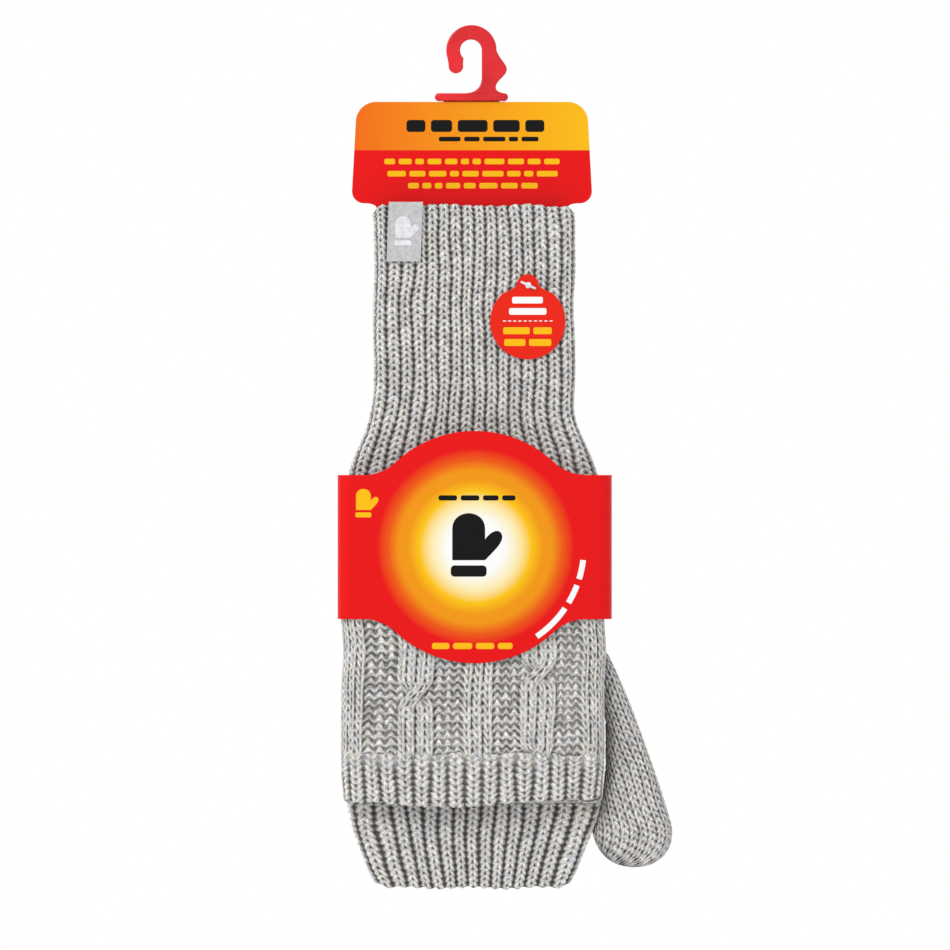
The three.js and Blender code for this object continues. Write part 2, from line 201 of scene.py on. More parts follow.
def thumb_left(z):
    """The thumb's edge: sewn into the hand, then beside it, then beside the finger rib, then free."""
    beside_hand = CENTRE_X + body_half(z) - 0.2
    beside_rib = CENTRE_X + finger_half(z) - 0.5
    sewn = THUMB_SEAM_X + (beside_hand - THUMB_SEAM_X) * smooth((-260 - z) / 8)
    lying = sewn + (beside_rib - sewn) * smooth((HINGE_Z + 2 - z) / 4)
    return np.where(z > THUMB_PARTS, lying, thumb_free(z))


def thumb_half(z):
    return (thumb_right(z) - thumb_left(z)) / 2


def thumb_middle(z):
    return (thumb_right(z) + thumb_left(z)) / 2


# ------------------------------------------------------------------ stitches, as heights below the crests

HIDDEN = -9.0  # a height below everything, for what isn't there
DEEPEST = 1.6  # the shade of the ground between purl stitches, where the yarn is darkest


def highest(*layers):
    """The upper envelope of (height, strand) layers."""
    height, strand = layers[0]
    for other, threads in layers[1:]:
        wins = other > height
        height = np.where(wins, other, height)
        strand = np.where(wins[..., None], threads, strand)
    return height, strand


LEG_RADIUS = 0.20  # of a wale's width
LEG_FOOT = 0.06
LEG_SPREAD = 0.29
LEG_LEAN = 0.90  # cosine of the leg's lean
FLOOR = 0.30  # how far the ground between the legs lies below their crests, in wale widths


def knit(s, t, width, wale, seed, full=1.0, reach=1.0, skew=0.0, spread=LEG_SPREAD):
    """Plain stitches. s is in wale widths from a wale's middle, and the legs spread as t, in rows, rises.

    Returns the height, and what the yarn's material needs: millimetres along the strand, how far across it
    from -1 to 1, a number of its own, and how deep in shade it lies. The yarn's twist leans the left legs
    and straightens the right ones, as far as skew says."""
    height = np.full(s.shape, -FLOOR * width)
    turn = skew * np.sign(s)
    facts = np.stack([0 * s, 0 * s, 0 * s, 1.5 - 0.6 * np.exp(-(s / 0.12) ** 2)], -1)
    for back in (0, 1):
        row = np.floor(t) - back
        rise = t - row
        luck = chance(2 * wale + (s > 0), row, seed)
        radius = width * LEG_RADIUS * full * (0.90 + 0.20 * luck)
        middle = LEG_FOOT + 0.07 * turn + (spread - 0.12 * turn) * np.clip(rise / (1.25 * reach), 0, 1)
        across = (np.abs(s) - middle) * width * LEG_LEAN / radius
        dip = 1.1 * np.clip(1 - rise / 0.4, 0, None) ** 2 + 0.9 * np.clip((rise - reach) / 0.4, 0, None) ** 2
        top = radius * (np.sqrt(np.clip(1 - across ** 2, 0, None)) - 1 - dip)
        shade = 0.95 * across ** 2 + 0.7 * dip + 0.3 * (0.5 - luck)
        leg = np.stack([rise * width * 0.7 + 9 * luck, across * np.sign(s), luck * 40, shade], -1)
        height, facts = highest((height, facts), (np.where(np.abs(across) < 1, top, HIDDEN), leg))
    return height, facts


PURL_SINK = 0.4  # how far a rope falls away between its loops, in its own radii
PURL_UNDER = 0.7  # how far the loop feet lie below the heads, in their own radii


def purl(s, t, pitch, wale, seed):
    """Purl stitches: ropes of loop heads, and the loop feet that cross under them in painted shade."""
    between = 0.3 * np.sin(2 * PI * s + 0.25) ** 2 + 0.8 * np.sin(PI * s + 0.15) ** 6
    height = np.full(s.shape, -0.55 * pitch)
    facts = np.stack([0 * s, 0 * s, 0 * s, 0 * s + DEEPEST], -1)
    for under, step in ((0, 0), (0, 1), (1, 0), (1, 1)):
        middle = t - (0.25 - 0.5 * under) * np.cos(2 * PI * s) - 0.5 * under
        row = np.floor(middle - 0.5) + step
        luck = chance(wale + 31, 2 * row + (np.abs(s) > 0.25), seed + 5 * under)
        thin = 0.40 * between * (1 - under) + 0.22 * under
        radius = 0.46 * pitch * (0.90 + 0.20 * luck) * (1 - thin)
        across = (middle - row - 0.5) * pitch * 0.90 / radius
        fall = PURL_SINK * between * (1 - under) + PURL_UNDER * under
        top = radius * (np.sqrt(np.clip(1 - across ** 2, 0, None)) - 1 - fall)
        shade = 0.75 * across ** 2 + 0.6 * fall + 0.5 * (0.5 - luck) - 0.12 + 0.55 * under
        rope = np.stack([s * 3.6 + 9 * luck, across, luck * 40, shade], -1)
        height, facts = highest((height, facts), (np.where(np.abs(across) < 1, top, HIDDEN), rope))
    return height, facts


GROOVE = 1.35  # how deep the purl wales of a rib lie


def rib(phase, t, width, pitch, seed, ridge, open_groove=1.0):
    """1x1 rib. phase counts ribs, and a knit wale stands at each whole number. ridge is the share of a rib
    that its wale takes, and open_groove is 0 to 1 for how deep the purl wales between them lie and how dark
    their painted shade is."""
    index = np.floor(phase + 0.5)
    offset = phase - index
    s = offset / ridge
    start = 0.3 * (chance(index, 0 * index, seed + 3) - 0.5)
    height, facts = knit(s, t + start, width * ridge, index, seed)
    round_off = np.abs(2 * s) ** 3
    # painted shade where a wale rounds off into the grooves, and in the grooves below
    facts[..., 3] += 0.25 * round_off
    height = np.where(np.abs(s) < 0.6, height - 0.5 * round_off, HIDDEN)
    bumps = 0.12 * np.cos(2 * PI * t) + 0.12 * noise(t * 1.7, phase * 3, seed + 4)
    shade = (1.45 - bumps) * (0.4 + 0.6 * open_groove)
    ground = np.stack([t * pitch, offset * 4, index * 7, shade], -1)
    return highest((height, facts), (bumps - GROOVE * (0.5 + 0.5 * open_groove), ground))


CROSS_ROWS = 3.8  # how many rows a crossing takes
CABLE_PERIOD = 11  # rows from one crossing to the next


def cable(x, t, crossing, wale_width, seed):
    """A cable of four wales, x in wales from its middle. At each crossing the right-hand two pass in
    front of the other two, going down."""
    off = (t - crossing + CABLE_PERIOD / 2) % CABLE_PERIOD - CABLE_PERIOD / 2
    swap = smooth(0.5 + off / CROSS_ROWS)
    lift = 4 * swap * (1 - swap)
    layers = []
    for middle, raised in ((2 * swap - 1, 0.55), (1 - 2 * swap, -0.8)):
        s = x - middle
        wale = np.clip(np.floor(s + 1), 0, 1)
        height, facts = knit(s - wale + 0.5, t, wale_width, wale + 7, seed + int(raised > 0),
                             full=0.96, reach=1.1, skew=1.0)
        height = height + raised * lift - 0.35 * np.abs(s) ** 3
        # painted shade at the cable's sides and on the two wales that pass behind
        facts[..., 3] += 0.3 * np.abs(s) ** 4 + (0.5 * lift if raised < 0 else 0)
        layers.append((np.where(np.abs(s) < 1.08, height, HIDDEN), facts))
    return highest(*layers)


# The cabled panel on the back of the hand and on the flip-top: what each strip is, its wales and its width.
PANEL = (("knit", 3, 9.6), ("purl", 3, 12.6), ("cable", 4, 15.0), ("purl", 3, 11.0), ("knit", 3, 11.8),
         ("purl", 3, 10.0), ("cable", 4, 14.4), ("purl", 3, 9.8), ("knit", 3, 10.2))
HAND_CROSSINGS = (6.5, 3.5)  # the row at which each cable crosses
FLAP_CROSSINGS = (7.9, 10.4)
PURL_DEPTH = 0.55  # how far the purl strips lie below the rest
PURL_SHADE = 0.27  # painted shade added to the strips' own, as they lie lower


def panel(w, t, crossings, seed):
    """The cabled panel: w in millimetres from its middle, and one crossing's row for each cable."""
    left = -sum(strip[2] for strip in PANEL) / 2
    stitches = (np.full(w.shape, HIDDEN), np.zeros(w.shape + (4,)))
    turns = iter(crossings)
    for number, (kind, wales, width) in enumerate(PANEL):
        inside = (w >= left) & (w < left + width)
        if number == 0:
            inside |= w < left
        if number == len(PANEL) - 1:
            inside |= w >= left + width
        place = (w - left) * wales / width
        wale = np.floor(place)
        s = place - wale - 0.5
        if kind == "knit":
            layer, threads = knit(s, t, width / wales, wale + 9 * number + 3, seed + number,
                                  full=0.94, reach=1.05, skew=1.1)
            edge = np.clip(1 - np.minimum(place, wales - place), 0, 1)
            layer = layer - (0.3 * edge ** 2 if 0 < number < len(PANEL) - 1 else 0)
        elif kind == "purl":
            layer, threads = purl(s, t, FLAP_ROW, wale + 9 * number, seed + number)
            layer = layer - PURL_DEPTH
            threads[..., 3] += PURL_SHADE
        else:
            inside = (w > left - 0.4) & (w < left + width + 0.4)
            layer, threads = cable(place - wales / 2, t, next(turns), width / wales, seed + number)
            ground, ropes = purl(s, t, FLAP_ROW, wale, seed + 20)
            # painted shade on the purl ground beside the cable
            ropes[..., 3] += 0.3
            layer, threads = highest((layer, threads), (ground - PURL_DEPTH - 0.15, ropes))
        stitches = highest(stitches, (np.where(inside, layer, HIDDEN), threads))
        left += width
    return stitches


# ------------------------------------------------------------------ pillow-shaped tubes


def on_pillow(w, half, depth):
    """x, y and outward direction on the front face of a pillow's section, w along it from its middle."""
    flat = half - depth
    turn = np.clip((np.abs(w) - flat) / depth, 0, PI / 2)
    side = np.sign(w)
    x = side * (np.minimum(np.abs(w), flat) + depth * np.sin(turn))
    return x, -depth * np.cos(turn), side * np.sin(turn), -np.cos(turn)


def heights(top, bottom, step, open_top=True, open_bottom=True, fine=None):
    """Heights from top to bottom, closer together where an edge rounds over."""
    near = np.array([0, 0.12, 0.36, 0.72])
    z = [np.linspace(top, bottom, max(3, round((top - bottom) / step)) + 1)]
    if open_top:
        z.append(top - near)
    if open_bottom:
        z.append(bottom + near)
    if fine is not None:
        z.append(fine)
    z = np.unique(np.round(np.concatenate(z), 3))[::-1]
    keep = np.append(True, np.diff(z) < -0.08)
    keep[-1] = True
    return z[keep]


def rim(z, top, bottom, radius=RIM):
    """How far a face turns inwards near an open edge, as a quarter circle."""
    near = np.clip(np.minimum(top - z, z - bottom), 0, radius)
    return radius - np.sqrt(np.clip(radius ** 2 - (radius - near) ** 2, 0, None))


class Skin:
    """Points in millimetres, what the yarn's material needs at each, and the faces between them."""

    def __init__(self):
        self.verts, self.strands, self.faces, self.tris = [], [], [], []


class Tube(Skin):
    """A closed skin round a pillow-shaped tube: an outer face, an inner face and its rims or closed tip.

    half, depth and centre_x are functions of height. Columns of points stand about as far apart as the
    steps say, where the tube is widest."""

    def __init__(self, half, depth, centre_x, centre_y, widest, front_step, back_step):
        super().__init__()
        self.half, self.depth, self.centre_x, self.centre_y = half, depth, centre_x, centre_y
        front = np.linspace(-1, 1, int(2 * widest / front_step) | 1)
        back = np.linspace(1, -1, int(2 * widest / back_step) | 1)[1:-1]
        self.u = np.concatenate([front, back])
        self.is_front = np.arange(len(self.u)) < len(front)
        self.count = 0

    def place(self, z, inset, relief, warp=None):
        """Adds one face of the wall, and returns the index of each of its points.

        relief(w, z, front, u) says how far the face is raised and what the yarn's material needs, at a
        distance w from the middle and a height z. front tells the two sides apart, and u is w as a share."""
        z = np.asarray(z, float)[:, None]
        half, depth = self.half(z), np.minimum(self.depth(z), self.half(z))
        reach = (half - depth) + PI / 2 * depth
        w = self.u * reach
        x, y, nx, ny = on_pillow(w, half, depth)
        front = np.broadcast_to(self.is_front, w.shape)
        z = np.broadcast_to(z, w.shape)
        height, strand = relief(w, z, front, self.u * np.ones_like(w))
        lift = height - inset
        x = x + nx * lift
        y = np.where(front, 1, -1) * (y + ny * lift)
        points = np.stack([x + self.centre_x(z), y + self.centre_y, z], -1)
        if warp is not None:
            points = warp(points, front)
        first = self.count
        self.verts.append(points.reshape(-1, 3))
        self.strands.append(strand.reshape(-1, 4))
        self.count += w.size
        return first + np.arange(w.size).reshape(w.shape)

    def skin(self, index, outwards):
        """Quads between neighbouring rows and columns of placed points."""
        around = np.roll(index, -1, 1)
        quads = np.stack([index[:-1], index[1:], around[1:], around[:-1]], -1).reshape(-1, 4)
        self.faces.append(quads if outwards else quads[:, ::-1])

    def skins(self, outer, inner):
        """The outer face and the inner one."""
        self.skin(outer, True)
        self.skin(inner, False)

    def bridge(self, outer, inner, at_top):
        """A rim from the outer face to the inner one, along an open edge."""
        pair = np.stack([inner, outer]) if at_top else np.stack([outer, inner])
        self.skin(pair, True)

    def close(self, ring, point, at_top, outwards=True):
        """A fan from the last ring to one point."""
        self.verts.append(np.array([point]))
        self.strands.append(np.zeros((1, 4)))
        around = np.roll(ring, -1)
        centre = np.full_like(ring, self.count)
        fan = np.stack([centre, ring, around], -1)
        self.tris.append(fan if at_top == outwards else fan[:, ::-1])
        self.count += 1


def slab(rows, width):
    """Quads of a sheet with two faces, each a grid of rows of points: those of the faces, and the edges."""
    index = np.arange(2 * rows * width).reshape(2, rows, width)
    outer, inner = index
    faces = [np.stack([outer[:-1, :-1], outer[:-1, 1:], outer[1:, 1:], outer[1:, :-1]], -1),
             np.stack([inner[:-1, :-1], inner[1:, :-1], inner[1:, 1:], inner[:-1, 1:]], -1)]
    edges = []
    for (out, back), forward in ((index[:, :, 0], True), (index[:, :, -1], False),
                                 (index[:, 0], False), (index[:, -1], True)):
        edge = np.stack([out[:-1], out[1:], back[1:], back[:-1]], -1)
        edges.append(edge if forward else edge[:, ::-1])
    return np.vstack([face.reshape(-1, 4) for face in faces]), np.vstack(edges)


def write_mesh(name, skin, mirrored):
    """A Blender mesh of a skin, mirrored for the left-hand mitten."""
    points = np.vstack(skin.verts) * MM
    quads, tris = np.vstack(skin.faces), (np.vstack(skin.tris) if skin.tris else np.zeros((0, 3), int))
    if mirrored:
        points = points * (1, -1, 1)
        quads, tris = quads[:, ::-1], tris[:, ::-1]
    mesh = bpy.data.meshes.new(name)
    mesh.vertices.add(len(points))
    mesh.vertices.foreach_set("co", points.ravel())
    mesh.loops.add(quads.size + tris.size)
    mesh.loops.foreach_set("vertex_index", np.concatenate([quads.ravel(), tris.ravel()]))
    mesh.polygons.add(len(quads) + len(tris))
    starts = np.concatenate([np.arange(len(quads)) * 4, quads.size + np.arange(len(tris)) * 3])
    mesh.polygons.foreach_set("loop_start", starts)
    mesh.polygons.foreach_set("use_smooth", np.ones(len(starts), bool))
    mesh.update()
    mesh.set_sharp_from_angle(angle=1.4)
    facts = np.vstack(skin.strands)
    strand = mesh.attributes.new("strand", "FLOAT_VECTOR", "POINT")
    strand.data.foreach_set("vector", facts[:, :3].astype(np.float32).ravel())
    # how far each point is darkened: mostly painted shade in creases, grooves and under crossing yarn, with
    # a little random tone per stitch
    tone_and_painted_shade = mesh.attributes.new("tone_and_painted_shade", "FLOAT", "POINT")
    tone_and_painted_shade.data.foreach_set("value", np.clip(facts[:, 3], 0, 3).astype(np.float32))
    mesh.validate()
    return mesh


def piece(name, mesh, material, body=None, node_name=None):
    """An object for a mesh, riding a body in place of a CAD node where it has them."""
    made = bpy.data.objects.new(name, mesh)
    bpy.context.collection.objects.link(made)
    made.data.materials.append(material)
    if body:
        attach(made, body)
    if node_name:
        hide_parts(node_name)
    return made


def build(name, tube, material, bodies):
    """The right-hand piece and its mirror image, each on its own body in place of its CAD node."""
    made = []
    for side, body in zip(SIDES, bodies):
        full = f"{side}_{name}"
        mesh = write_mesh(full, tube, side == "left")
        made.append(piece(full + "_look", mesh, material, body, full))
    return made


HAND_BODIES = ("pair_on_card", "pair_on_card")
FLAP_BODIES = ("right_flap", "left_flap")
THUMB_BODIES = ("right_thumb", "left_thumb")


def wobble(w, z, seed, sideways=0.55, along=0.24):
    """Small drifts of the stitches: across in millimetres, and along in rows."""
    return (sideways * noise(w / 8 + 20, z / 13, seed) + 0.12 * noise(w / 2, z / 5, seed + 2),
            along * noise(w / 7 + 9, z / 9, seed + 1))


def slack(w, z, seed):
    """The soft, uneven lie of a knitted face, always inwards."""
    return 0.28 * (noise(w / 17 + 5, z / 21, seed) - 1)


# ------------------------------------------------------------------ materials


def node(tree, kind, links=(), **settings):
    made = tree.nodes.new(kind)
    for key, value in settings.items():
        setattr(made, key, value)
    for socket, source in dict(links).items():
        target = made.inputs[socket]
        if isinstance(source, bpy.types.NodeSocket):
            tree.links.new(source, target)
        else:
            target.default_value = source
    return made


def new_material(name):
    material = bpy.data.materials.new(name)
    material.use_nodes = True
    return material, material.node_tree, material.node_tree.nodes["Principled BSDF"]


def ramp(tree, factor, stops):
    made = node(tree, "ShaderNodeValToRGB", {"Fac": factor})
    band = made.color_ramp
    while len(band.elements) < len(stops):
        band.elements.new(0.5)
    for element, (position, colour) in zip(band.elements, stops):
        element.position = position
        element.color = (*colour, 1)
    return made.outputs["Color"]


def mix(tree, factor, a, b, blend="MIX"):
    made = tree.nodes.new("ShaderNodeMix")
    made.data_type = "RGBA"
    made.blend_type = blend
    for socket, source in ((0, factor), (6, a), (7, b)):
        if isinstance(source, bpy.types.NodeSocket):
            tree.links.new(source, made.inputs[socket])
        else:
            made.inputs[socket].default_value = source
    return made.outputs[2]


def maths(tree, operation, a, b=0.0, clamp=False):
    return node(tree, "ShaderNodeMath", {0: a, 1: b}, operation=operation, use_clamp=clamp).outputs[0]


def object_place(tree):
    return node(tree, "ShaderNodeTexCoord").outputs["Object"]


def speckle(tree, place, scale, detail, roughness=0.5):
    """The value of a noise texture, scale to a metre."""
    return node(tree, "ShaderNodeTexNoise", {
        "Vector": place, "Scale": scale, "Detail": detail, "Roughness": roughness}).outputs["Fac"]


def dress(tree, shader, base, height, strength, distance, **levels):
    """Joins a colour and a bump to a shader, and sets its other levels. distance is in millimetres."""
    tree.links.new(base, shader.inputs["Base Color"])
    bump = node(tree, "ShaderNodeBump", {"Height": height, "Strength": strength, "Distance": distance * MM})
    tree.links.new(bump.outputs["Normal"], shader.inputs["Normal"])
    for name, level in levels.items():
        shader.inputs[name.replace("_", " ")].default_value = level


def marl_yarn():
    """Light grey marl: fibres of several greys twisted into each strand, darkened by painted shade where it
    lies in creases and grooves.
    """
    material, tree, shader = new_material("marl_knit")
    strand = node(tree, "ShaderNodeAttribute", attribute_name="strand").outputs["Vector"]
    tone_and_painted_shade = node(tree, "ShaderNodeAttribute", attribute_name="tone_and_painted_shade").outputs["Fac"]
    place = object_place(tree)
    twist = node(tree, "ShaderNodeMapping", {
        "Vector": strand, "Rotation": (0, 0, 0.42), "Scale": (0.75, 2.1, 1)}).outputs["Vector"]
    fibres = speckle(tree, twist, 1.15, 5.0, 0.62)
    grain = speckle(tree, place, 1500.0, 4.0, 0.7)
    patches = speckle(tree, place, 210.0, 2.0)
    greys = ramp(tree, fibres, [
        (0.32, (0.17, 0.167, 0.165)), (0.41, (0.42, 0.413, 0.405)), (0.49, (0.70, 0.69, 0.67)),
        (0.60, (0.93, 0.915, 0.875))])
    cool = mix(tree, ramp(tree, patches, [(0.52, (0, 0, 0)), (0.64, (1, 1, 1))]), greys,
               (0.50, 0.535, 0.60, 1))
    warm = mix(tree, ramp(tree, patches, [(0.36, (1, 1, 1)), (0.46, (0, 0, 0))]), cool,
               (0.72, 0.66, 0.57, 1))
    tinted = mix(tree, 0.35, greys, warm)
    speckled = mix(tree, 0.55, tinted, ramp(tree, grain, [
        (0.33, (0.42, 0.42, 0.42)), (0.50, (0.90, 0.90, 0.90)), (0.66, (1, 1, 1))]), "MULTIPLY")
    # painted shade: the yarn darkened where it lies in creases, in grooves and under other yarn
    shade = ramp(tree, maths(tree, "MULTIPLY", tone_and_painted_shade, 1 / DEEPEST), [
        (0.0, (1, 1, 1)), (0.20, (0.84, 0.835, 0.83)), (0.50, (0.42, 0.41, 0.40)),
        (0.90, (0.11, 0.10, 0.095))])
    shaded = mix(tree, 1.0, speckled, shade, "MULTIPLY")
    dress(tree, shader, shaded, maths(tree, "ADD", fibres, grain), strength=0.55, distance=0.5,
          Roughness=0.92, Specular_IOR_Level=0.12, Sheen_Weight=0.12, Sheen_Roughness=0.6)
    return material


KNIT = marl_yarn()

# ------------------------------------------------------------------ the pieces of a mitten


def steady(value):
    return lambda z: value + 0 * z


def fan(u, centre, side):
    """Ribs counted across a face: centre says how close they are at its middle, and side how many there are
    from there to its side."""
    return centre * u + (side - centre) * u ** 3


def cuff():
    """Ribbed cuff and flare, its ribs fanning out with it."""
    top, bottom = CUFF_HIGH[2], RIBS_END
    tube = Tube(body_half, steady(HAND_DEPTH), middle_line, HAND_Y, CUFF_HALF + 2,
                front_step=0.36, back_step=1.5)

    def outer(w, z, front, u):
        across, along = wobble(w, z, 3)
        phase = fan(u, *CUFF_RIBS) + 0.5 + across / 5
        t = (top - z) / CUFF_ROW + along
        height, strand = rib(phase, t, CUFF_WALE, CUFF_ROW, seed=11, ridge=0.96)
        strand[..., 3] += 0.08
        return height + slack(w, z, 5), strand

    def drift(x):
        corner = 2.6 * smooth((np.abs(x - CENTRE_X) - CUFF_HALF + 4.5) / 5)
        return 0.7 * (noise(x / 11 + 40, x * 0, 21) + 0.4) + corner

    def edge(points, front):
        return draw_in(points, top, -1, 7, CUFF_RIBS, half=42.6, depth=0.3, drift=drift, start=0.5)

    finish_tube(tube, top, bottom, CUFF_ROW / 7, outer, ribbed_inside(*CUFF_RIBS, start=0.5), edge)
    return tube


def draw_in(points, end, inwards, reach, ribs, half, depth, drift, start=0):
    """Dents an open edge between its ribs. inwards is 1 where the piece lies above its edge, the ribs fan
    out over half the width, and drift says how much further the edge is drawn in at an x."""
    x, y, z = np.moveaxis(points, -1, 0)
    near = np.clip(1 - inwards * (z - end) / reach, 0, 1)
    phase = fan((x - CENTRE_X) / half, *ribs) + start
    dent = depth - depth * np.cos(2 * PI * phase) + drift(x)
    return np.stack([x, y, z + inwards * near * dent], -1)


def finish_tube(tube, top, bottom, step, outer, inner, warp=None, rim_top=True, rim_bottom=True):
    """Outer face, inner face and both rims of a tube that is open at each end."""
    high, low = top + (0 if rim_top else 9), bottom - (0 if rim_bottom else 9)
    z = heights(top, bottom, step, rim_top, rim_bottom)
    out = tube.place(z, rim(z, high, low)[:, None], outer, warp)
    coarse = heights(top, bottom, step * 3, rim_top, rim_bottom)
    inside = tube.place(coarse, WALL - rim(coarse, high, low)[:, None], inner, warp)
    tube.skins(out, inside)
    tube.bridge(out[0], inside[0], True)
    tube.bridge(out[-1], inside[-1], False)


def hand_shell():
    """The back of the hand carries the cabled panel, and the palm is plain."""
    top, bottom = RIBS_END, HAND_LOW[2] - 0.3
    tube = Tube(body_half, steady(HAND_DEPTH), middle_line, HAND_Y, HAND_HALF, front_step=0.5, back_step=1.3)

    def outer(w, z, front, u):
        across, along = wobble(w, z, 33)
        t = (top - z) / FLAP_ROW + along
        height, strand = panel(w + across, t, HAND_CROSSINGS, 41)
        plain, threads = knit(w / PALM_WALE % 1 - 0.5, t, PALM_WALE, np.floor(w / PALM_WALE), 43)
        height = np.where(front, height, plain)
        return height - 0.1 + slack(w, z, 35), np.where(front[..., None], strand, threads)

    def palm_edge(points, front):
        """The palm stops short of the seam, so that the closed flip-top's mouth can tuck in there."""
        x, y, z = np.moveaxis(points, -1, 0)
        z = z + 2 * smooth((bottom + 6 - z) / 6) * smooth((y - HAND_Y) / 2)
        return np.stack([x, y, z], -1)

    finish_tube(tube, top, bottom, FLAP_ROW / 6, outer, flat_inside, palm_edge)
    return tube


def flat_inside(w, z, front, u):
    # painted shade: an inner face lies in shade
    return 0 * w, np.zeros(w.shape + (4,)) + (0, 0, 0, 0.9)


def ribbed_inside(centre, side, start=0, side_room=0.0):
    """The reverse of a rib, which its open end shows. side_room thins the wall at the two sides."""
    def relief(w, z, front, u):
        phase = fan(u, centre, side) + start
        t = z / CUFF_ROW
        height, facts = rib(phase + 0.5, t, CUFF_WALE, CUFF_ROW, seed=99, ridge=0.8, open_groove=0.6)
        # painted shade: the inside of the tube lies in shade
        facts[..., 3] += 0.55
        return side_room * smooth((np.abs(u) - 0.8) / 0.12) - 0.4 - 0.35 * height, facts
    return relief


def finger_rib():
    """The ribbed opening for four bare fingers, its ribs running in towards the fingertips."""
    top, bottom = RIB_HIGH[2] + 2.4, RIB_LOW[2]
    tube = Tube(finger_half, steady(RIB_DEPTH), middle_line, RIB_Y, RIB_TOP_HALF - 5,
                front_step=0.36, back_step=0.6)

    def outer(w, z, front, u):
        across, along = wobble(w, z, 53)
        phase = fan(u, *FINGER_RIBS) + across / 5
        t = (top - z) / CUFF_ROW + along
        height, strand = rib(phase, t, FINGER_WALE, CUFF_ROW, seed=57, ridge=0.88)
        return height + slack(w, z, 55), strand

    def drift(x):
        corner = 1.8 * smooth((np.abs(x - CENTRE_X) - 32.5) / 6) ** 1.5
        return 0.5 * (noise(x / 13 + 40, x * 0, 22) + 0.4) + corner

    def edge(points, front):
        return draw_in(points, bottom, 1, 7, FINGER_RIBS, half=39.3, depth=0.35, drift=drift)

    finish_tube(tube, top, bottom, CUFF_ROW / 7, outer, ribbed_inside(*FINGER_RIBS), edge, rim_top=False)
    return tube


def hem_fold(points, front):
    """The flip-top's mouth lies in towards the finger rib, most at its sides, and sags near its middle."""
    x, y, z = np.moveaxis(points, -1, 0)
    near = smooth((HEM_HIGH[2] + 14 - z) / 30)
    side = np.clip(np.abs(x - CENTRE_X + 3) / HAND_HALF, 0, 1)
    outer_half = smooth((FLAP_Y - y) / 3)
    y = y + outer_half * near * (1.3 + 1.7 * side ** 2)
    edge = smooth((HEM_HIGH[2] - z) / 19)
    lift = 1.3 * smooth(x / 54) + 0.4 * smooth((-x - 16) / 30) - 1.3 * np.exp(-((x + 8) / 24) ** 2)
    z = z + (0.5 + 0.5 * outer_half) * edge * np.where(lift > 0, lift, outer_half * lift)
    join = np.exp(-((z - HEM_HIGH[2]) / 2.2) ** 2)
    z = z + 0.9 * join * noise(x / 2.3 + 11, 0 * x, 29)
    z = z + 1.6 * edge * smooth((np.abs(x - CENTRE_X) - 45.5) / 6) ** 1.5
    return np.stack([x, y, z], -1)


def flap_hem():
    """Ribbed hem round the flip-top's mouth."""
    top, bottom = HEM_HIGH[2] + 0.3, HEM_LOW[2]
    tube = Tube(flap_half, steady(FLAP_DEPTH), middle_line, FLAP_Y, HEM_HALF, front_step=0.4, back_step=0.6)

    def outer(w, z, front, u):
        across, along = wobble(w, z, 63)
        phase = fan(u, *HEM_RIBS) + across / 6
        opens = smooth((top - z + 1.5 * noise(w / 3, 0 * w, 61)) / 7) * 0.85
        t = (z - bottom) / CUFF_ROW * 1.04 + along
        height, strand = rib(phase, t, HEM_WALE, CUFF_ROW, seed=67, ridge=0.92, open_groove=opens)
        return height + slack(w, z, 65), strand

    def drift(x):
        return 0.4 * noise(x / 12 + 7, 0 * x, 24)

    def edge(points, front):
        folded = hem_fold(points, front)
        return draw_in(folded, bottom, 1, 6, HEM_RIBS, half=53.4, depth=0.35, drift=drift)

    inner = ribbed_inside(*HEM_RIBS, side_room=0.9)
    finish_tube(tube, top, bottom, CUFF_ROW / 6.5, outer, inner, edge, rim_top=False)
    return tube


def domed(tip, depth):
    """A pillow's half-thickness as a function of height, rounding off at its closed tip."""
    def thickness(z):
        near = np.clip(1 - np.abs(tip - z) / depth, 0, 1)
        return depth * np.sqrt(np.clip(1 - near ** 2, 0.002, 1))
    return thickness


def tip_heights(tip, inwards, depth):
    """Heights near a closed tip, crowded towards it. inwards is 1 where the piece lies above its tip."""
    return tip + inwards * depth * (1 - np.cos(np.linspace(0.09, PI / 2, 22)))


def close_tip(tube, out, inside, at_top):
    """Closes the outer and the inner face at the tip's middle."""
    for ring, outwards in ((out, True), (inside, False)):
        middle = np.vstack(tube.verts)[ring].mean(0)
        tube.close(ring, middle, at_top, outwards)


def flap_shell():
    """The cabled flip-top, closed at its tip."""
    tip, bottom = FLAP_TIP, FLAP_LOW[2] - 0.3
    tube = Tube(flap_half, domed(tip, FLAP_DEPTH), middle_line, FLAP_Y, HAND_HALF,
                front_step=0.45, back_step=0.7)

    def outer(w, z, front, u):
        across, along = wobble(w, z, 73)
        t = (z - bottom) / FLAP_ROW + along
        height, strand = panel(w + across, t, FLAP_CROSSINGS, 71)
        return height - 0.25 + slack(w, z, 75), strand

    near_tip = tip_heights(tip, -1, FLAP_DEPTH)
    z = heights(near_tip[-1] - 0.3, bottom, FLAP_ROW / 7, open_top=False, open_bottom=False, fine=near_tip)
    out = tube.place(z, 0, outer, hem_fold)
    coarse = heights(tip - WALL, bottom, FLAP_ROW, open_top=False, open_bottom=False)
    inside = tube.place(coarse, WALL, flat_inside, hem_fold)
    tube.skins(out, inside)
    tube.bridge(out[-1], inside[-1], False)
    close_tip(tube, out[0], inside[0], True)
    return tube


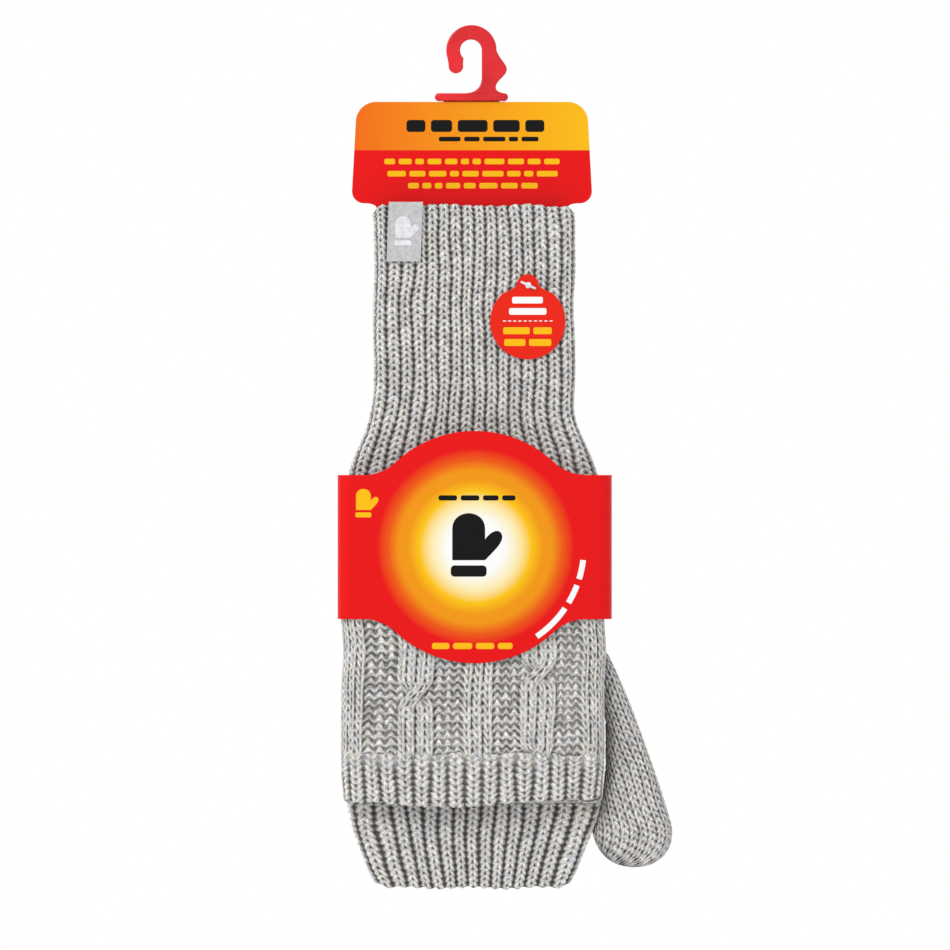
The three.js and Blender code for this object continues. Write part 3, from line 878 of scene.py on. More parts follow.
def thumb_shell():
    """The plain knitted thumb, lying down beside the finger rib."""
    top, tip = THUMB_ROOT - 1.5, THUMB_LOW[2]
    tube = Tube(thumb_half, domed(tip, HAND_DEPTH), thumb_middle, HAND_Y, THUMB_HALF,
                front_step=0.4, back_step=0.8)

    def outer(w, z, front, u):
        across, along = wobble(w, z, 83)
        from_side = (thumb_half(z) - w) * 0.93 + across
        t = (top - z) / THUMB_ROW + along - from_side * 0.12
        s = from_side / THUMB_WALE % 1 - 0.5
        wale = np.floor(from_side / THUMB_WALE)
        height, strand = knit(s, t, THUMB_WALE, wale, 87, full=1.08, reach=0.95, skew=0.3, spread=0.32)
        round_off = np.abs(2 * s) ** 4
        # painted shade between the wales, and a painted shadow of the flip-top's hem along the thumb's left
        # side
        shaded = np.clip((thumb_left(z) + 9 - thumb_middle(z) - w) / 9, 0, 1)
        strand[..., 3] += 0.05 + 0.45 * round_off + 0.38 * shaded ** 2
        return height - 0.1 - 0.25 * round_off + 0.5 * slack(w, z, 85), strand

    near_tip = tip_heights(tip, 1, HAND_DEPTH)
    z = heights(top, near_tip[-1] + 0.3, 0.4, open_bottom=False, fine=near_tip)
    out = tube.place(z, 0, outer)
    coarse = heights(top - WALL, tip + WALL, 3, open_top=False, open_bottom=False)
    inside = tube.place(coarse, np.minimum(WALL, thumb_half(coarse)[:, None] * 0.8), flat_inside)
    tube.skins(out, inside)
    close_tip(tube, out[-1], inside[-1], False)
    close_tip(tube, out[0], inside[0], True)
    return tube


build("cuff", cuff(), KNIT, HAND_BODIES)
build("hand_shell", hand_shell(), KNIT, HAND_BODIES)
ribs = build("finger_rib", finger_rib(), KNIT, HAND_BODIES)
build("flap_hem", flap_hem(), KNIT, FLAP_BODIES)
build("flap_shell", flap_shell(), KNIT, FLAP_BODIES)
build("thumb_shell", thumb_shell(), KNIT, THUMB_BODIES)

# ------------------------------------------------------------------ the seam that a flip-top turns on

GUSSET_HALF = HEM_HALF - HAND_DEPTH - 1
HINGE_Y = (HAND_LOW[1] + FLAP_HIGH[1]) / 2
OVERCAST = 2.7  # from one stitch of the seam to the next


def gusset():
    """An overcast seam that joins the flip-top's back edge to the hand, round the line it turns on."""
    x = np.arange(-GUSSET_HALF, GUSSET_HALF, 0.4)[:, None]
    turn = np.linspace(0, PI, 17)[None, :]
    twist = np.cos(2 * PI * x / OVERCAST + 1.6 * turn)
    faces = []
    for radius, relief in ((1.25, 0.2), (0.7, 0)):
        r = radius + relief * twist
        y = HINGE_Y + r * np.cos(turn)
        z = HINGE_Z + 2.2 - 1.1 * r * np.sin(turn)
        faces.append(np.stack([CENTRE_X + x + 0 * y, y, z], -1))
    shade = 0.6 - 0.45 * twist
    stitch = np.round(x / OVERCAST)
    facts = np.stack([x + 0 * turn, 2 * turn / PI - 1 + 0 * x, stitch + 0 * turn, shade], -1)
    seam = Skin()
    seam.verts = [np.stack(faces).reshape(-1, 3)]
    seam.strands = [np.stack([facts, facts]).reshape(-1, 4)]
    seam.faces = list(slab(x.size, turn.size))
    return seam


def join_flaps():
    """A seam piece for each mitten, its mesh set into place, and a mesh of its own for each finger rib."""
    seam = gusset()
    for side, sign, rib_piece in zip(SIDES, (1, -1), ribs):
        name = f"{side}_hinge_seam"
        made = piece(name, write_mesh(name, seam, side == "left"), KNIT)
        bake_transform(made)
        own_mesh(rib_piece)


join_flaps()

# ------------------------------------------------------------------ linings


def pile(seed, towards):
    """Short plush pile on the face that meets the hand."""
    def relief(w, z, front, u):
        tufts = 0.16 * noise(w / 1.1, z / 1.3, seed) + 0.10 * noise(w / 0.55 + 7, z / 0.6, seed + 1)
        return towards * (tufts - 0.2), np.zeros(w.shape + (4,))
    return relief


def lining(half, depth, middle, centre_y, widest, top, bottom, closed=None):
    """A plush layer just inside a knitted wall. closed says which end, if any, is its closed tip."""
    tube = Tube(half, depth, middle, centre_y, widest, front_step=1.0, back_step=1.0)
    outer_inset, inner_inset = WALL + 0.1, WALL + 0.1 + PLUSH
    z = heights(top, bottom, 1.1, closed != "top", closed != "bottom")
    edge = rim(z, top + (9 if closed == "top" else 0), bottom - (9 if closed == "bottom" else 0), PLUSH / 2)
    room = np.minimum(1, tube.half(z) / 6)[:, None]
    out = tube.place(z, (outer_inset + edge[:, None]) * room, flat_inside)
    inside = tube.place(z, (inner_inset - edge[:, None]) * room, pile(91, -1))
    tube.skins(out, inside)
    ends = {"top": (out[0], inside[0]), "bottom": (out[-1], inside[-1])}
    for end, (outer_ring, inner_ring) in ends.items():
        if end == closed:
            close_tip(tube, outer_ring, inner_ring, end == "top")
        else:
            tube.bridge(outer_ring, inner_ring, end == "top")
    return tube


def plush():
    material, tree, shader = new_material("plush_pile")
    place = object_place(tree)
    tufts = speckle(tree, place, 900.0, 4.0, 0.7)
    shades = ramp(tree, tufts, [(0.3, (0.33, 0.32, 0.31)), (0.6, (0.62, 0.61, 0.59))])
    dress(tree, shader, shades, tufts, strength=0.8, distance=0.6, Roughness=1.0, Sheen_Weight=0.6)
    return material


PLUSH_PILE = plush()
FLAP_POCKET = FLAP_TIP - WALL - 0.4  # the closed ends of the hollows inside the shells
THUMB_POCKET = THUMB_LOW[2] + WALL + 0.4

build("hand_lining", lining(body_half, steady(HAND_DEPTH), middle_line, HAND_Y, HAND_HALF,
                            LINING_TOP, HINGE_Z + 4), PLUSH_PILE, HAND_BODIES)
build("flap_lining", lining(flap_half, domed(FLAP_POCKET, FLAP_DEPTH), middle_line, FLAP_Y, HAND_HALF,
                            FLAP_POCKET - 0.2, FLAP_LINING_START, "top"), PLUSH_PILE, FLAP_BODIES)
build("thumb_lining", lining(thumb_half, domed(THUMB_POCKET, HAND_DEPTH), thumb_middle, HAND_Y, THUMB_HALF,
                             THUMB_ROOT - 6, THUMB_POCKET + 0.2, "bottom"),
      PLUSH_PILE, THUMB_BODIES)

# ------------------------------------------------------------------ plain meshes, swept rods and flat plates

PAINT = 0.75  # what a printed white reflects


def colour(code):
    """Linear RGBA from a hexadecimal sRGB colour."""
    parts = [int(code[i:i + 2], 16) / 255 for i in (0, 2, 4)]
    linear = [c / 12.92 if c < 0.04045 else ((c + 0.055) / 1.055) ** 2.4 for c in parts]
    return tuple(c * PAINT for c in linear) + (1,)


class Shape:
    """Points in millimetres and faces, gathered from several forms into one piece."""

    def __init__(self):
        self.points, self.faces = [], []

    def add(self, points, faces):
        first = len(self.points)
        self.points.extend([tuple(map(float, p)) for p in points])
        self.faces.extend([tuple(first + i for i in face) for face in faces])
        return self

    def mirrored(self):
        other = Shape()
        other.points = [(x, -y, z) for x, y, z in self.points]
        other.faces = [face[::-1] for face in self.faces]
        return other

    def mesh(self, name):
        made = bpy.data.meshes.new(name)
        made.from_pydata([[c * MM for c in p] for p in self.points], [], self.faces)
        return finish_mesh(made)


SHARP = 0.7  # radians between faces that meet in a visible edge


def finish_mesh(mesh):
    mesh.polygons.foreach_set("use_smooth", np.ones(len(mesh.polygons), bool))
    mesh.set_sharp_from_angle(angle=SHARP)
    mesh.validate()
    mesh.update()
    return mesh


def part(name, shape, material, body, node_name=None):
    """A piece made from a gathered shape."""
    piece(name, shape.mesh(name), material, body, node_name)


def both(name, shape, material, bodies, replaced=True):
    """A piece of the right-hand mitten, and its mirror image on the left-hand one."""
    made = []
    for side, body, form in zip(SIDES, bodies, (shape, shape.mirrored())):
        full = f"{side}_{name}"
        node_name = full if replaced else None
        made.append(piece(full + "_look", form.mesh(full), material, body, node_name))
    return made


def frames(path):
    """Tangent, side and up for each point of a path."""
    tangent = np.gradient(path, axis=0)
    tangent /= np.linalg.norm(tangent, axis=1)[:, None]
    side = np.cross(tangent[0], (0.31, 0.83, 0.47))
    sides = []
    for direction in tangent:
        side = side - direction * np.dot(side, direction)
        side = side / np.linalg.norm(side)
        sides.append(side)
    sides = np.array(sides)
    return tangent, sides, np.cross(tangent, sides)


def round_faces(rows, sides):
    """Faces of a form made of rings of points, with a flat face at each end."""
    around = [(i * sides + j, i * sides + (j + 1) % sides, (i + 1) * sides + (j + 1) % sides,
               (i + 1) * sides + j) for i in range(rows - 1) for j in range(sides)]
    return around + [tuple(range(sides))[::-1], tuple((rows - 1) * sides + j for j in range(sides))]


def rod(shape, path, radius, sides=12):
    """A round rod along a path, with domed ends."""
    path = np.array(path, float)
    tangent, side, up = frames(path)
    dome_steps = np.sin(np.linspace(0, PI / 2, 4))[:-1]
    start = [path[0] - tangent[0] * radius * math.sqrt(1 - k * k) for k in dome_steps[1:]]
    end = [path[-1] + tangent[-1] * radius * math.sqrt(1 - k * k) for k in dome_steps[:0:-1]]
    rings = np.vstack([start, path, end])
    radii = np.concatenate([dome_steps[1:], np.ones(len(path)), dome_steps[:0:-1]]) * radius
    count = len(dome_steps) - 1
    side = np.vstack([[side[0]] * count, side, [side[-1]] * count])
    up = np.vstack([[up[0]] * count, up, [up[-1]] * count])
    turn = np.linspace(0, 2 * PI, sides, endpoint=False)
    ring = rings[:, None] + radii[:, None, None] * (
        np.cos(turn)[None, :, None] * side[:, None] + np.sin(turn)[None, :, None] * up[:, None])
    return shape.add(ring.reshape(-1, 3), round_faces(len(rings), sides))


def lathe(shape, profile, centre, axis_y, sides=40):
    """A profile of (radius, distance towards the viewer) turned about a line along y."""
    turn = np.linspace(0, 2 * PI, sides, endpoint=False)
    points = [(centre[0] + r * math.cos(a), axis_y - out, centre[1] + r * math.sin(a))
              for r, out in profile for a in turn]
    return shape.add(points, [face[::-1] for face in round_faces(len(profile), sides)])


def arc(x, z, radius, start, end, steps=14):
    turn = np.linspace(start, end, steps)
    return [(x + radius * math.cos(a), z + radius * math.sin(a)) for a in turn]


def curve(*points):
    """Points along a quadratic or cubic curve."""
    if len(points) == 3:
        a, b, c = map(np.array, points)
        points = (a, a + (b - a) * 2 / 3, c + (b - c) * 2 / 3, c)
    return [tuple(p) for p in bezier(*points, steps=14)]


def catmull(points, steps=8):
    """A smooth line through points."""
    points = np.array(points, float)
    padded = np.vstack([2 * points[0] - points[1], points, 2 * points[-1] - points[-2]])
    line = []
    for i in range(1, len(padded) - 2):
        a, b, c, d = padded[i - 1:i + 3]
        for t in np.linspace(0, 1, steps, endpoint=False):
            line.append(0.5 * (2 * b + (c - a) * t + (2 * a - 5 * b + 4 * c - d) * t ** 2
                               + (3 * b - a - 3 * c + d) * t ** 3))
    return np.array(line + [points[-1]])


def clean(points):
    """The same outline without repeated points."""
    kept = [points[0]]
    for point in points[1:]:
        if math.dist(point, kept[-1]) > 0.03:
            kept.append(point)
    if math.dist(kept[0], kept[-1]) < 0.03:
        kept.pop()
    return kept


def plate(name, outlines, thick, y, bevel):
    """A flat plate with rounded edges, seen from the front. Outlines after the first are holes."""
    drawn = bpy.data.curves.new(name, "CURVE")
    drawn.dimensions = "2D"
    drawn.fill_mode = "BOTH"
    drawn.extrude = (thick / 2 - bevel) * MM
    drawn.bevel_depth = bevel * MM
    drawn.bevel_resolution = 2
    drawn.offset = -bevel * MM
    for points in map(clean, outlines):
        spline = drawn.splines.new("POLY")
        spline.points.add(len(points) - 1)
        for target, (x, z) in zip(spline.points, points):
            target.co = (x * MM, z * MM, 0, 1)
        spline.use_cyclic_u = True
    holder = bpy.data.objects.new(name, drawn)
    bpy.context.collection.objects.link(holder)
    graph = bpy.context.evaluated_depsgraph_get()
    mesh = bpy.data.meshes.new_from_object(holder.evaluated_get(graph))
    bpy.data.objects.remove(holder)
    mesh.transform(Matrix.Translation((0, y * MM, 0)) @ Matrix.Rotation(PI / 2, 4, "X"))
    return finish_mesh(mesh)


def rounded(x0, x1, z0, z1, radius):
    """The outline of a rectangle with rounded corners."""
    radius = min(radius, (x1 - x0) / 2 - 0.01, (z1 - z0) / 2 - 0.01)
    left, right, low, high = x0 + radius, x1 - radius, z0 + radius, z1 - radius
    points = []
    for x, z, start in ((right, high, PI / 2), (right, low, 0), (left, low, -PI / 2), (left, high, -PI)):
        points += arc(x, z, radius, start, start - PI / 2, 6)
    return points


def ink(shape, outline_points, y, lift=0.03, back=0.02):
    """A printed area as a very thin closed layer on a face that looks towards the viewer."""
    points = clean(outline_points)
    count = len(points)
    front = [(x, y - lift, z) for x, z in points]
    rear = [(x, y + back, z) for x, z in points]
    faces = [(i, (i + 1) % count, count + (i + 1) % count, count + i) for i in range(count)]
    return shape.add(front + rear, faces + [tuple(range(count))[::-1], tuple(range(count, 2 * count))])


def greeked(shape, x0, x1, z0, z1, y, seed, radius=0.5, word=(3.0, 8.5), gap=1.4):
    """A line of print shown as plain rounded bars, one for each word."""
    rng = np.random.default_rng(seed)
    lengths = []
    while sum(lengths) + gap * len(lengths) < x1 - x0:
        lengths.append(rng.uniform(*word))
    scale = (x1 - x0 - gap * (len(lengths) - 1)) / sum(lengths)
    left = x0
    for length in lengths:
        ink(shape, rounded(left, left + length * scale, z0, z1, radius), y)
        left += length * scale + gap
    return shape


def pictogram(shape, centre_x, centre_z, size, y):
    """A plain mitten sign: a rounded hand with a thumb, over a separate cuff bar. size is its height."""
    def at(points):
        return [(centre_x + x * size, centre_z + z * size) for x, z in points]
    hand = ([(-0.27, -0.20), (-0.27, 0.22)] + curve((-0.27, 0.22), (-0.27, 0.5), (0.17, 0.5), (0.17, 0.22))
            + [(0.17, 0.08)] + curve((0.17, 0.08), (0.25, 0.20), (0.38, 0.24), (0.40, 0.12))
            + curve((0.40, 0.12), (0.41, 0.02), (0.24, -0.12), (0.17, -0.20)))
    ink(shape, at(hand), y)
    ink(shape, at(rounded(-0.29, 0.19, -0.42, -0.27, 0.05)), y)
    return shape


# ------------------------------------------------------------------ finishes of the packaging and trimmings


def board(name, paint, roughness=0.38):
    """Coated card, printed with the colour that paint makes."""
    material, tree, shader = new_material(name)
    place = object_place(tree)
    grain = speckle(tree, place, 420.0, 3.0, 0.6)
    wear = ramp(tree, grain, [(0.3, (0.72, 0.72, 0.72)), (0.7, (1, 1, 1))])
    worn = mix(tree, 0.10, paint(tree, place), wear, "MULTIPLY")
    dress(tree, shader, worn, grain, strength=0.12, distance=0.2,
          Roughness=roughness, Specular_IOR_Level=0.16)
    return material


def split(tree, place):
    parts = node(tree, "ShaderNodeSeparateXYZ", {"Vector": place}).outputs
    return parts["X"], parts["Y"], parts["Z"]


CARD_GLOSS = 0.0125  # what the coating's own reflection adds to a colour


def printed(code):
    """A colour printed on coated card, less what the coating adds."""
    return tuple(max(c - CARD_GLOSS, 0) for c in colour(code)[:3]) + (1,)


RED = printed("ED1C24")
STRIP_BOTTOM = -43.5  # of the orange strip on the header card
GLOW_CENTRE = (1.6, -199)
GLOW_R = 45


def header_paint(tree, place):
    """An orange to yellow strip along the top, and red below it."""
    x, _, z = split(tree, place)
    reach = 46 * MM
    across = node(tree, "ShaderNodeMapRange", {
        "Value": x, "From Min": -reach, "From Max": reach}).outputs["Result"]
    strip = ramp(tree, across, [(at, printed(code)[:3]) for at, code in (
        (0.0, "F37021"), (0.5, "F99D1C"), (1.0, "FDC010"))])
    above = maths(tree, "GREATER_THAN", z, STRIP_BOTTOM * MM)
    return mix(tree, above, RED, strip)


def band_paint(tree, place):
    """A warm glow round the middle of the front, and plain red elsewhere."""
    x, y, z = split(tree, place)
    dx = maths(tree, "SUBTRACT", x, GLOW_CENTRE[0] * MM)
    dz = maths(tree, "SUBTRACT", z, GLOW_CENTRE[1] * MM)
    radius = maths(tree, "SQRT", maths(tree, "ADD", maths(tree, "MULTIPLY", dx, dx),
                                       maths(tree, "MULTIPLY", dz, dz)))
    spread = maths(tree, "MULTIPLY", radius, 1 / (GLOW_R * MM))
    glow = ramp(tree, spread, [(at, printed(code)[:3]) for at, code in (
        (0.24, "FFFFFF"), (0.37, "FFF0B8"), (0.48, "FFC805"), (0.58, "F59D10"), (0.66, "F59A1E"),
        (0.75, "F15F22"), (0.85, "ED1C24"))])
    front = maths(tree, "LESS_THAN", y, (BAND_LOW[1] + 1.3) * MM)
    return mix(tree, front, RED, glow)


def plain(code):
    return lambda tree, place: mix(tree, 0.0, printed(code), printed(code))


def cloudy(tree, code, factor, darkest):
    """A colour that factor darkens in places, down to a share of it."""
    base = colour(code)[:3]
    return ramp(tree, factor, [(0.3, tuple(c * darkest for c in base)), (0.62, base)])


def plastic(name, code, spots, roughness=0.28, soft=0.15):
    """Moulded plastic, a little cloudy."""
    material, tree, shader = new_material(name)
    place = object_place(tree)
    base = cloudy(tree, code, speckle(tree, place, spots, 2.0), 0.72)
    grain = speckle(tree, place, 900.0, 2.0)
    dress(tree, shader, base, grain, strength=0.05, distance=0.2, Roughness=roughness,
          Specular_IOR_Level=0.25, Subsurface_Weight=soft, Subsurface_Radius=(0.004, 0.002, 0.002))
    return material


def woven(name, code, pitch, shine=0.35):
    """Fine satin weave: threads both ways, about pitch apart in millimetres."""
    material, tree, shader = new_material(name)
    place = object_place(tree)
    x, _, z = split(tree, place)
    across = maths(tree, "SINE", maths(tree, "MULTIPLY", x, 2 * PI / (pitch * MM)))
    along = maths(tree, "SINE", maths(tree, "MULTIPLY", z, 2 * PI / (pitch * 0.7 * MM)))
    weave = maths(tree, "MULTIPLY", across, along)
    uneven = maths(tree, "ADD", maths(tree, "MULTIPLY", weave, 0.18), speckle(tree, place, 700.0, 3.0))
    base = cloudy(tree, code, uneven, 0.74)
    dress(tree, shader, base, weave, strength=0.35, distance=0.1, Roughness=0.5, Sheen_Weight=shine)
    return material


HEADER_PRINT = board("header_print", header_paint)
BAND_PRINT = board("band_print", band_paint)
TAG_PRINT = board("tag_print", plain("EF3124"))
CORE = board("white_core", plain("F2EFEA"), roughness=0.8)
WHITE_INK = board("white_ink", plain("FFFFFF"))
AMBER_INK = board("amber_ink", plain("FFC20E"))
DARK_INK = board("dark_ink", plain("17120F"))
HOOK_PLASTIC = plastic("red_plastic", "E8262E", spots=60.0)
PIN_PLASTIC = plastic("clear_white_plastic", "F6F1F4", spots=300.0, roughness=0.35, soft=0.3)
BUTTON_PLASTIC = plastic("grey_plastic", "8C8A88", spots=260.0, roughness=0.3, soft=0.0)
LABEL_SATIN = woven("label_satin", "CCCCCE", pitch=0.5)
THREAD = woven("label_thread", "F4F4F8", pitch=0.3, shine=0.5)
ELASTIC = woven("elastic_braid", "9A9896", pitch=0.9, shine=0.3)

# ------------------------------------------------------------------ trimmings of a mitten

LABEL_HANG = 23.2
LABEL_INSIDE = 9.0
LABEL_THICK = 0.34
LABEL_LEAN = 0.04
LABEL_FLAT = (0.0133, 0.0346)  # metres


def label_path():
    """(y, z) along the ribbon: up the front of the cuff, over its edge and down inside."""
    front, inside = LABEL_LOW[1] + LABEL_THICK / 2 + 0.04, LABEL_HIGH[1] - LABEL_THICK / 2
    top = LABEL_HIGH[2] - LABEL_THICK / 2
    turn = (inside - front) / 2
    leg = [(front, z) for z in np.linspace(top - LABEL_HANG, top - turn, 46)]
    fold = [(front + turn - turn * math.cos(a), top - turn + turn * math.sin(a))
            for a in np.linspace(0, PI, 12)[1:-1]]
    back = [(inside, z) for z in np.linspace(top - turn, top - LABEL_INSIDE, 12)]
    return np.array(leg + fold + back)


def label_x(u, z):
    """Across the ribbon, u from 0 to 1, with its slight slant on the front."""
    middle = (LABEL_LOW[0] + LABEL_HIGH[0]) / 2
    return middle + (u - 0.5) * LABEL_FLAT[0] / MM - LABEL_LEAN * (LABEL_HIGH[2] - z - 4)


def woven_label():
    """A ribbon with a thicker selvedge, folded over the cuff's edge."""
    path = label_path()
    normal = np.gradient(path, axis=0)
    normal = np.stack([-normal[:, 1], normal[:, 0]], 1) / np.linalg.norm(normal, axis=1)[:, None]
    columns = np.linspace(0, 1, 41)
    points = []
    for sign in (1, -1):
        for (y, z), (ny, nz) in zip(path, normal):
            ripple = 0.05 * math.cos(z * 2.1) * math.cos(z * 0.7)
            for u in columns:
                selvedge = 0.07 * (min(u, 1 - u) < 0.04)
                out = sign * (LABEL_THICK / 2 + selvedge) + ripple
                points.append((label_x(u, z), y + ny * out, z + nz * out))
    return Shape().add(points, np.vstack(slab(len(path), len(columns))).tolist())


def label_sign():
    z = LABEL_HIGH[2] - 11.5
    return pictogram(Shape(), float(label_x(0.5, z + 0.5)), z, 13.5, LABEL_LOW[1])


def label_stitches():
    """A row of short stitches across the label's lower end."""
    shape = Shape()
    z = LABEL_HIGH[2] - LABEL_HANG + 1.4
    for u in np.linspace(0.05, 0.95, 9):
        x = float(label_x(u, z))
        y = LABEL_LOW[1] + 0.02
        rod(shape, [(x - 0.5, y + 0.12, z), (x, y - 0.08, z + 0.02), (x + 0.5, y + 0.12, z)],
            radius=0.13, sides=6)
    return shape


def flap_button():
    """A round button with a raised rim, on a short shank."""
    shape = Shape()
    base = BUTTON_HIGH[1]
    radius = (BUTTON_HIGH[0] - BUTTON_LOW[0]) / 2
    centre = (CENTRE_X, (BUTTON_HIGH[2] + BUTTON_LOW[2]) / 2)
    rise = 2.6
    profile = [(2.2, 0), (2.2, rise)]
    profile += [(radius - 0.8, rise)] + [(radius - 0.8 + 0.8 * math.sin(a), rise + 0.8 - 0.8 * math.cos(a))
                                         for a in np.linspace(0.2, PI / 2, 5)]
    profile += [(radius - 0.9 + 0.9 * math.cos(a), rise + 1.7 + 0.9 * math.sin(a))
                for a in np.linspace(0, PI, 9)]
    profile += [(radius - 2.4, rise + 2.1), (radius - 3.0, rise + 1.95), (0.05, rise + 1.9)]
    return lathe(shape, profile, centre, base, 56)


def button_thread():
    """Two crossed pairs of threads over the button's middle."""
    shape = Shape()
    base = BUTTON_HIGH[1] - 4.5
    x, z = CENTRE_X, (BUTTON_HIGH[2] + BUTTON_LOW[2]) / 2
    for dx, dz in ((1, 1), (1, -1)):
        for shift in (-0.22, 0.22):
            ends = [(x - 1.05 * dx + shift * dz, base + 0.15, z - 1.05 * dz - shift * dx),
                    (x + shift * dz, base - 0.32, z - shift * dx),
                    (x + 1.05 * dx + shift * dz, base + 0.15, z + 1.05 * dz - shift * dx)]
            rod(shape, catmull(ends, 5), radius=0.2, sides=7)
    return shape


def flap_loop():
    """The elastic loop from the flip-top's tip round the button's shank."""
    low = BUTTON_HIGH[1] - 1.3
    button_z = (BUTTON_HIGH[2] + BUTTON_LOW[2]) / 2
    half = [(3.4, FLAP_Y, FLAP_TIP - 0.6), (4.0, low - 1.9, FLAP_TIP + 3), (4.2, low, button_z - 4.6),
            (3.6, low, button_z)]
    points = [(CENTRE_X - x, y, z) for x, y, z in half]
    points += [(CENTRE_X, low, button_z + 3.5)]
    points += [(CENTRE_X + x, y, z) for x, y, z in half[::-1]]
    return rod(Shape(), catmull(points, 12), radius=0.68, sides=14)


for made in both("woven_label", woven_label(), LABEL_SATIN, HAND_BODIES):
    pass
both("label_sign", label_sign(), THREAD, HAND_BODIES, False)
both("label_stitches", label_stitches(), THREAD, HAND_BODIES, False)
both("flap_button", flap_button(), BUTTON_PLASTIC, HAND_BODIES)
both("button_thread", button_thread(), THREAD, HAND_BODIES, False)
both("flap_loop", flap_loop(), ELASTIC, FLAP_BODIES)

# ------------------------------------------------------------------ packaging

PAIR = "pair_on_card"
THROAT, HOOK_RADIUS = 4.25, 9.9
BAR_HALF, BAR_TOP, BAR_BOTTOM = 14.4, -21.1, -24.2


def hook_outline():
    """Open throat on the left, a stem with a swelling, and a bar along the card."""
    cap = (BAR_TOP - BAR_BOTTOM) / 2
    end = BAR_HALF - cap
    neck = THROAT - 0.2
    return (
        [(-end, BAR_BOTTOM), (end, BAR_BOTTOM)]
        + arc(end, BAR_BOTTOM + cap, cap, -PI / 2, PI / 2)
        + curve((end, BAR_TOP), (9.2, -20.6), (9.6, -18.3))
        + curve((9.6, -18.3), (10.2, -15.5), (13.9, -14.4), (13.9, -11.6))
        + curve((13.9, -11.6), (13.9, -9.5), (9.8, -6.5), (9.8, -THROAT + 0.9))
        + arc(0, -THROAT, HOOK_RADIUS, 0.1, 3.45, 40)
        + arc(-6.1, -10.4, 2.9, 3.0, 6.5, 20)
        + arc(-0.2, -THROAT, THROAT, 3.95, 0, 30)
        + [(neck, -14.5)]
        + curve((neck, -14.5), (neck, BAR_TOP), (-2.9, BAR_TOP))
        + [(-end, BAR_TOP)]
        + arc(-end, BAR_BOTTOM + cap, cap, PI / 2, PI * 1.5))


def hook():
    """The hook, the flange that the card hangs from, and its tab riveted to the card's back."""
    flange = rounded(-BAR_HALF + 1.2, BAR_HALF - 1.2, BAR_BOTTOM + 0.1, BAR_TOP - 0.1, 1.2)
    for name, drawn, sizes, node_name in (
            ("hanging_hook_look", hook_outline(), (2.4, 0, 0.55), "hanging_hook"),
            ("hook_flange", flange, (3.2, 0, 0.5), None),
            ("hook_tab", rounded(-11, 11, -34, BAR_TOP - 1, 1.6), (0.8, 1.0, 0.2), None)):
        piece(name, plate(name, [drawn], *sizes), HOOK_PLASTIC, PAIR, node_name)
    rivets = Shape()
    for x in (-6.5, 6.5):
        lathe(rivets, [(1.5, -0.45), (1.35, -0.2), (0.9, 0.05), (0.02, 0.1)], (x, -29.5), 1.4)
    part("hook_rivets", rivets, HOOK_PLASTIC, PAIR)


def header_outline():
    """A card with round shoulders, and a long tongue that goes down between the cuffs."""
    corner, low, end = 7.9, 4.7, 4
    x0 = (CARD_LOW[0] + CARD_HIGH[0]) / 2
    top, bottom, tongue, tip = CARD_HIGH[2], -64.3, 37.3, CARD_LOW[2]
    side = (arc(45.6 - corner, top - corner, corner, PI / 2, 0)
            + arc(47.1 - low, bottom + low, low, 0, -PI / 2)
            + curve((47.1 - low, bottom), (tongue, bottom), (tongue, bottom - 2.5))
            + arc(tongue - end, tip + end, end, 0, -PI / 2))
    return [(x0 + x, z) for x, z in side] + [(x0 - x, z) for x, z in side[::-1]]


PIN_X, PIN_Z = 22.2, -96.9
BAR_TILT = -0.44  # of the pin's cross bars, in radians
TAG_X, TAG_Z, TAG_R = 22, -111.1, 14.7


def header_card():
    hole = arc(PIN_X, PIN_Z, 0.75, 2 * PI, 0, 20)
    thick = CARD_HIGH[1] - CARD_LOW[1]
    mesh = plate("header_card", [header_outline(), hole], thick, y=0, bevel=0.09)
    piece("header_card_look", mesh, HEADER_PRINT, PAIR, "header_card")
    face = CARD_LOW[1]
    title = greeked(Shape(), -25.5, 28.6, -36.3, -31.6, face, seed=3, radius=1.2, word=(8, 15), gap=2.2)
    greeked(title, -12.8, 26.3, -40, -38.2, face, seed=4, radius=0.6)
    part("header_title", title, DARK_INK, PAIR)
    lines = Shape()
    for seed, (x0, x1, z1) in enumerate(((-34.2, 34.6, -46.8), (-33, 33.9, -51.6), (-24.9, 26, -56.3))):
        greeked(lines, x0, x1, z1 - 2.2, z1, face, seed=20 + seed, radius=0.7)
    part("header_lines", lines, AMBER_INK, PAIR)


BULGE_R, BULGE_FILLET, BULGE_Z = 45.1, 18, -199
BAND_RISE = 28  # half the height of the band's plain stretches
BAND_CARD = 0.5
BAND_CORNER = 5
BAND_X = (BAND_LOW[0] + BAND_HIGH[0]) / 2
BAND_HALF = (BAND_HIGH[0] - BAND_LOW[0]) / 2
BAND_DEPTH = BAND_HIGH[1]


def band_edge(x):
    """Half the band's height at a distance from its middle: a strip with a round swelling."""
    reach = math.sqrt((BULGE_R + BULGE_FILLET) ** 2 - (BAND_RISE + BULGE_FILLET) ** 2)
    turn = math.atan2(BAND_RISE + BULGE_FILLET, reach)
    x = abs(x)
    if x >= reach:
        return BAND_RISE
    if x >= BULGE_R * math.cos(turn):
        return BAND_RISE + BULGE_FILLET - math.sqrt(BULGE_FILLET ** 2 - (reach - x) ** 2)
    return math.sqrt(BULGE_R ** 2 - x ** 2)


OVERLAP = (-8, 11)


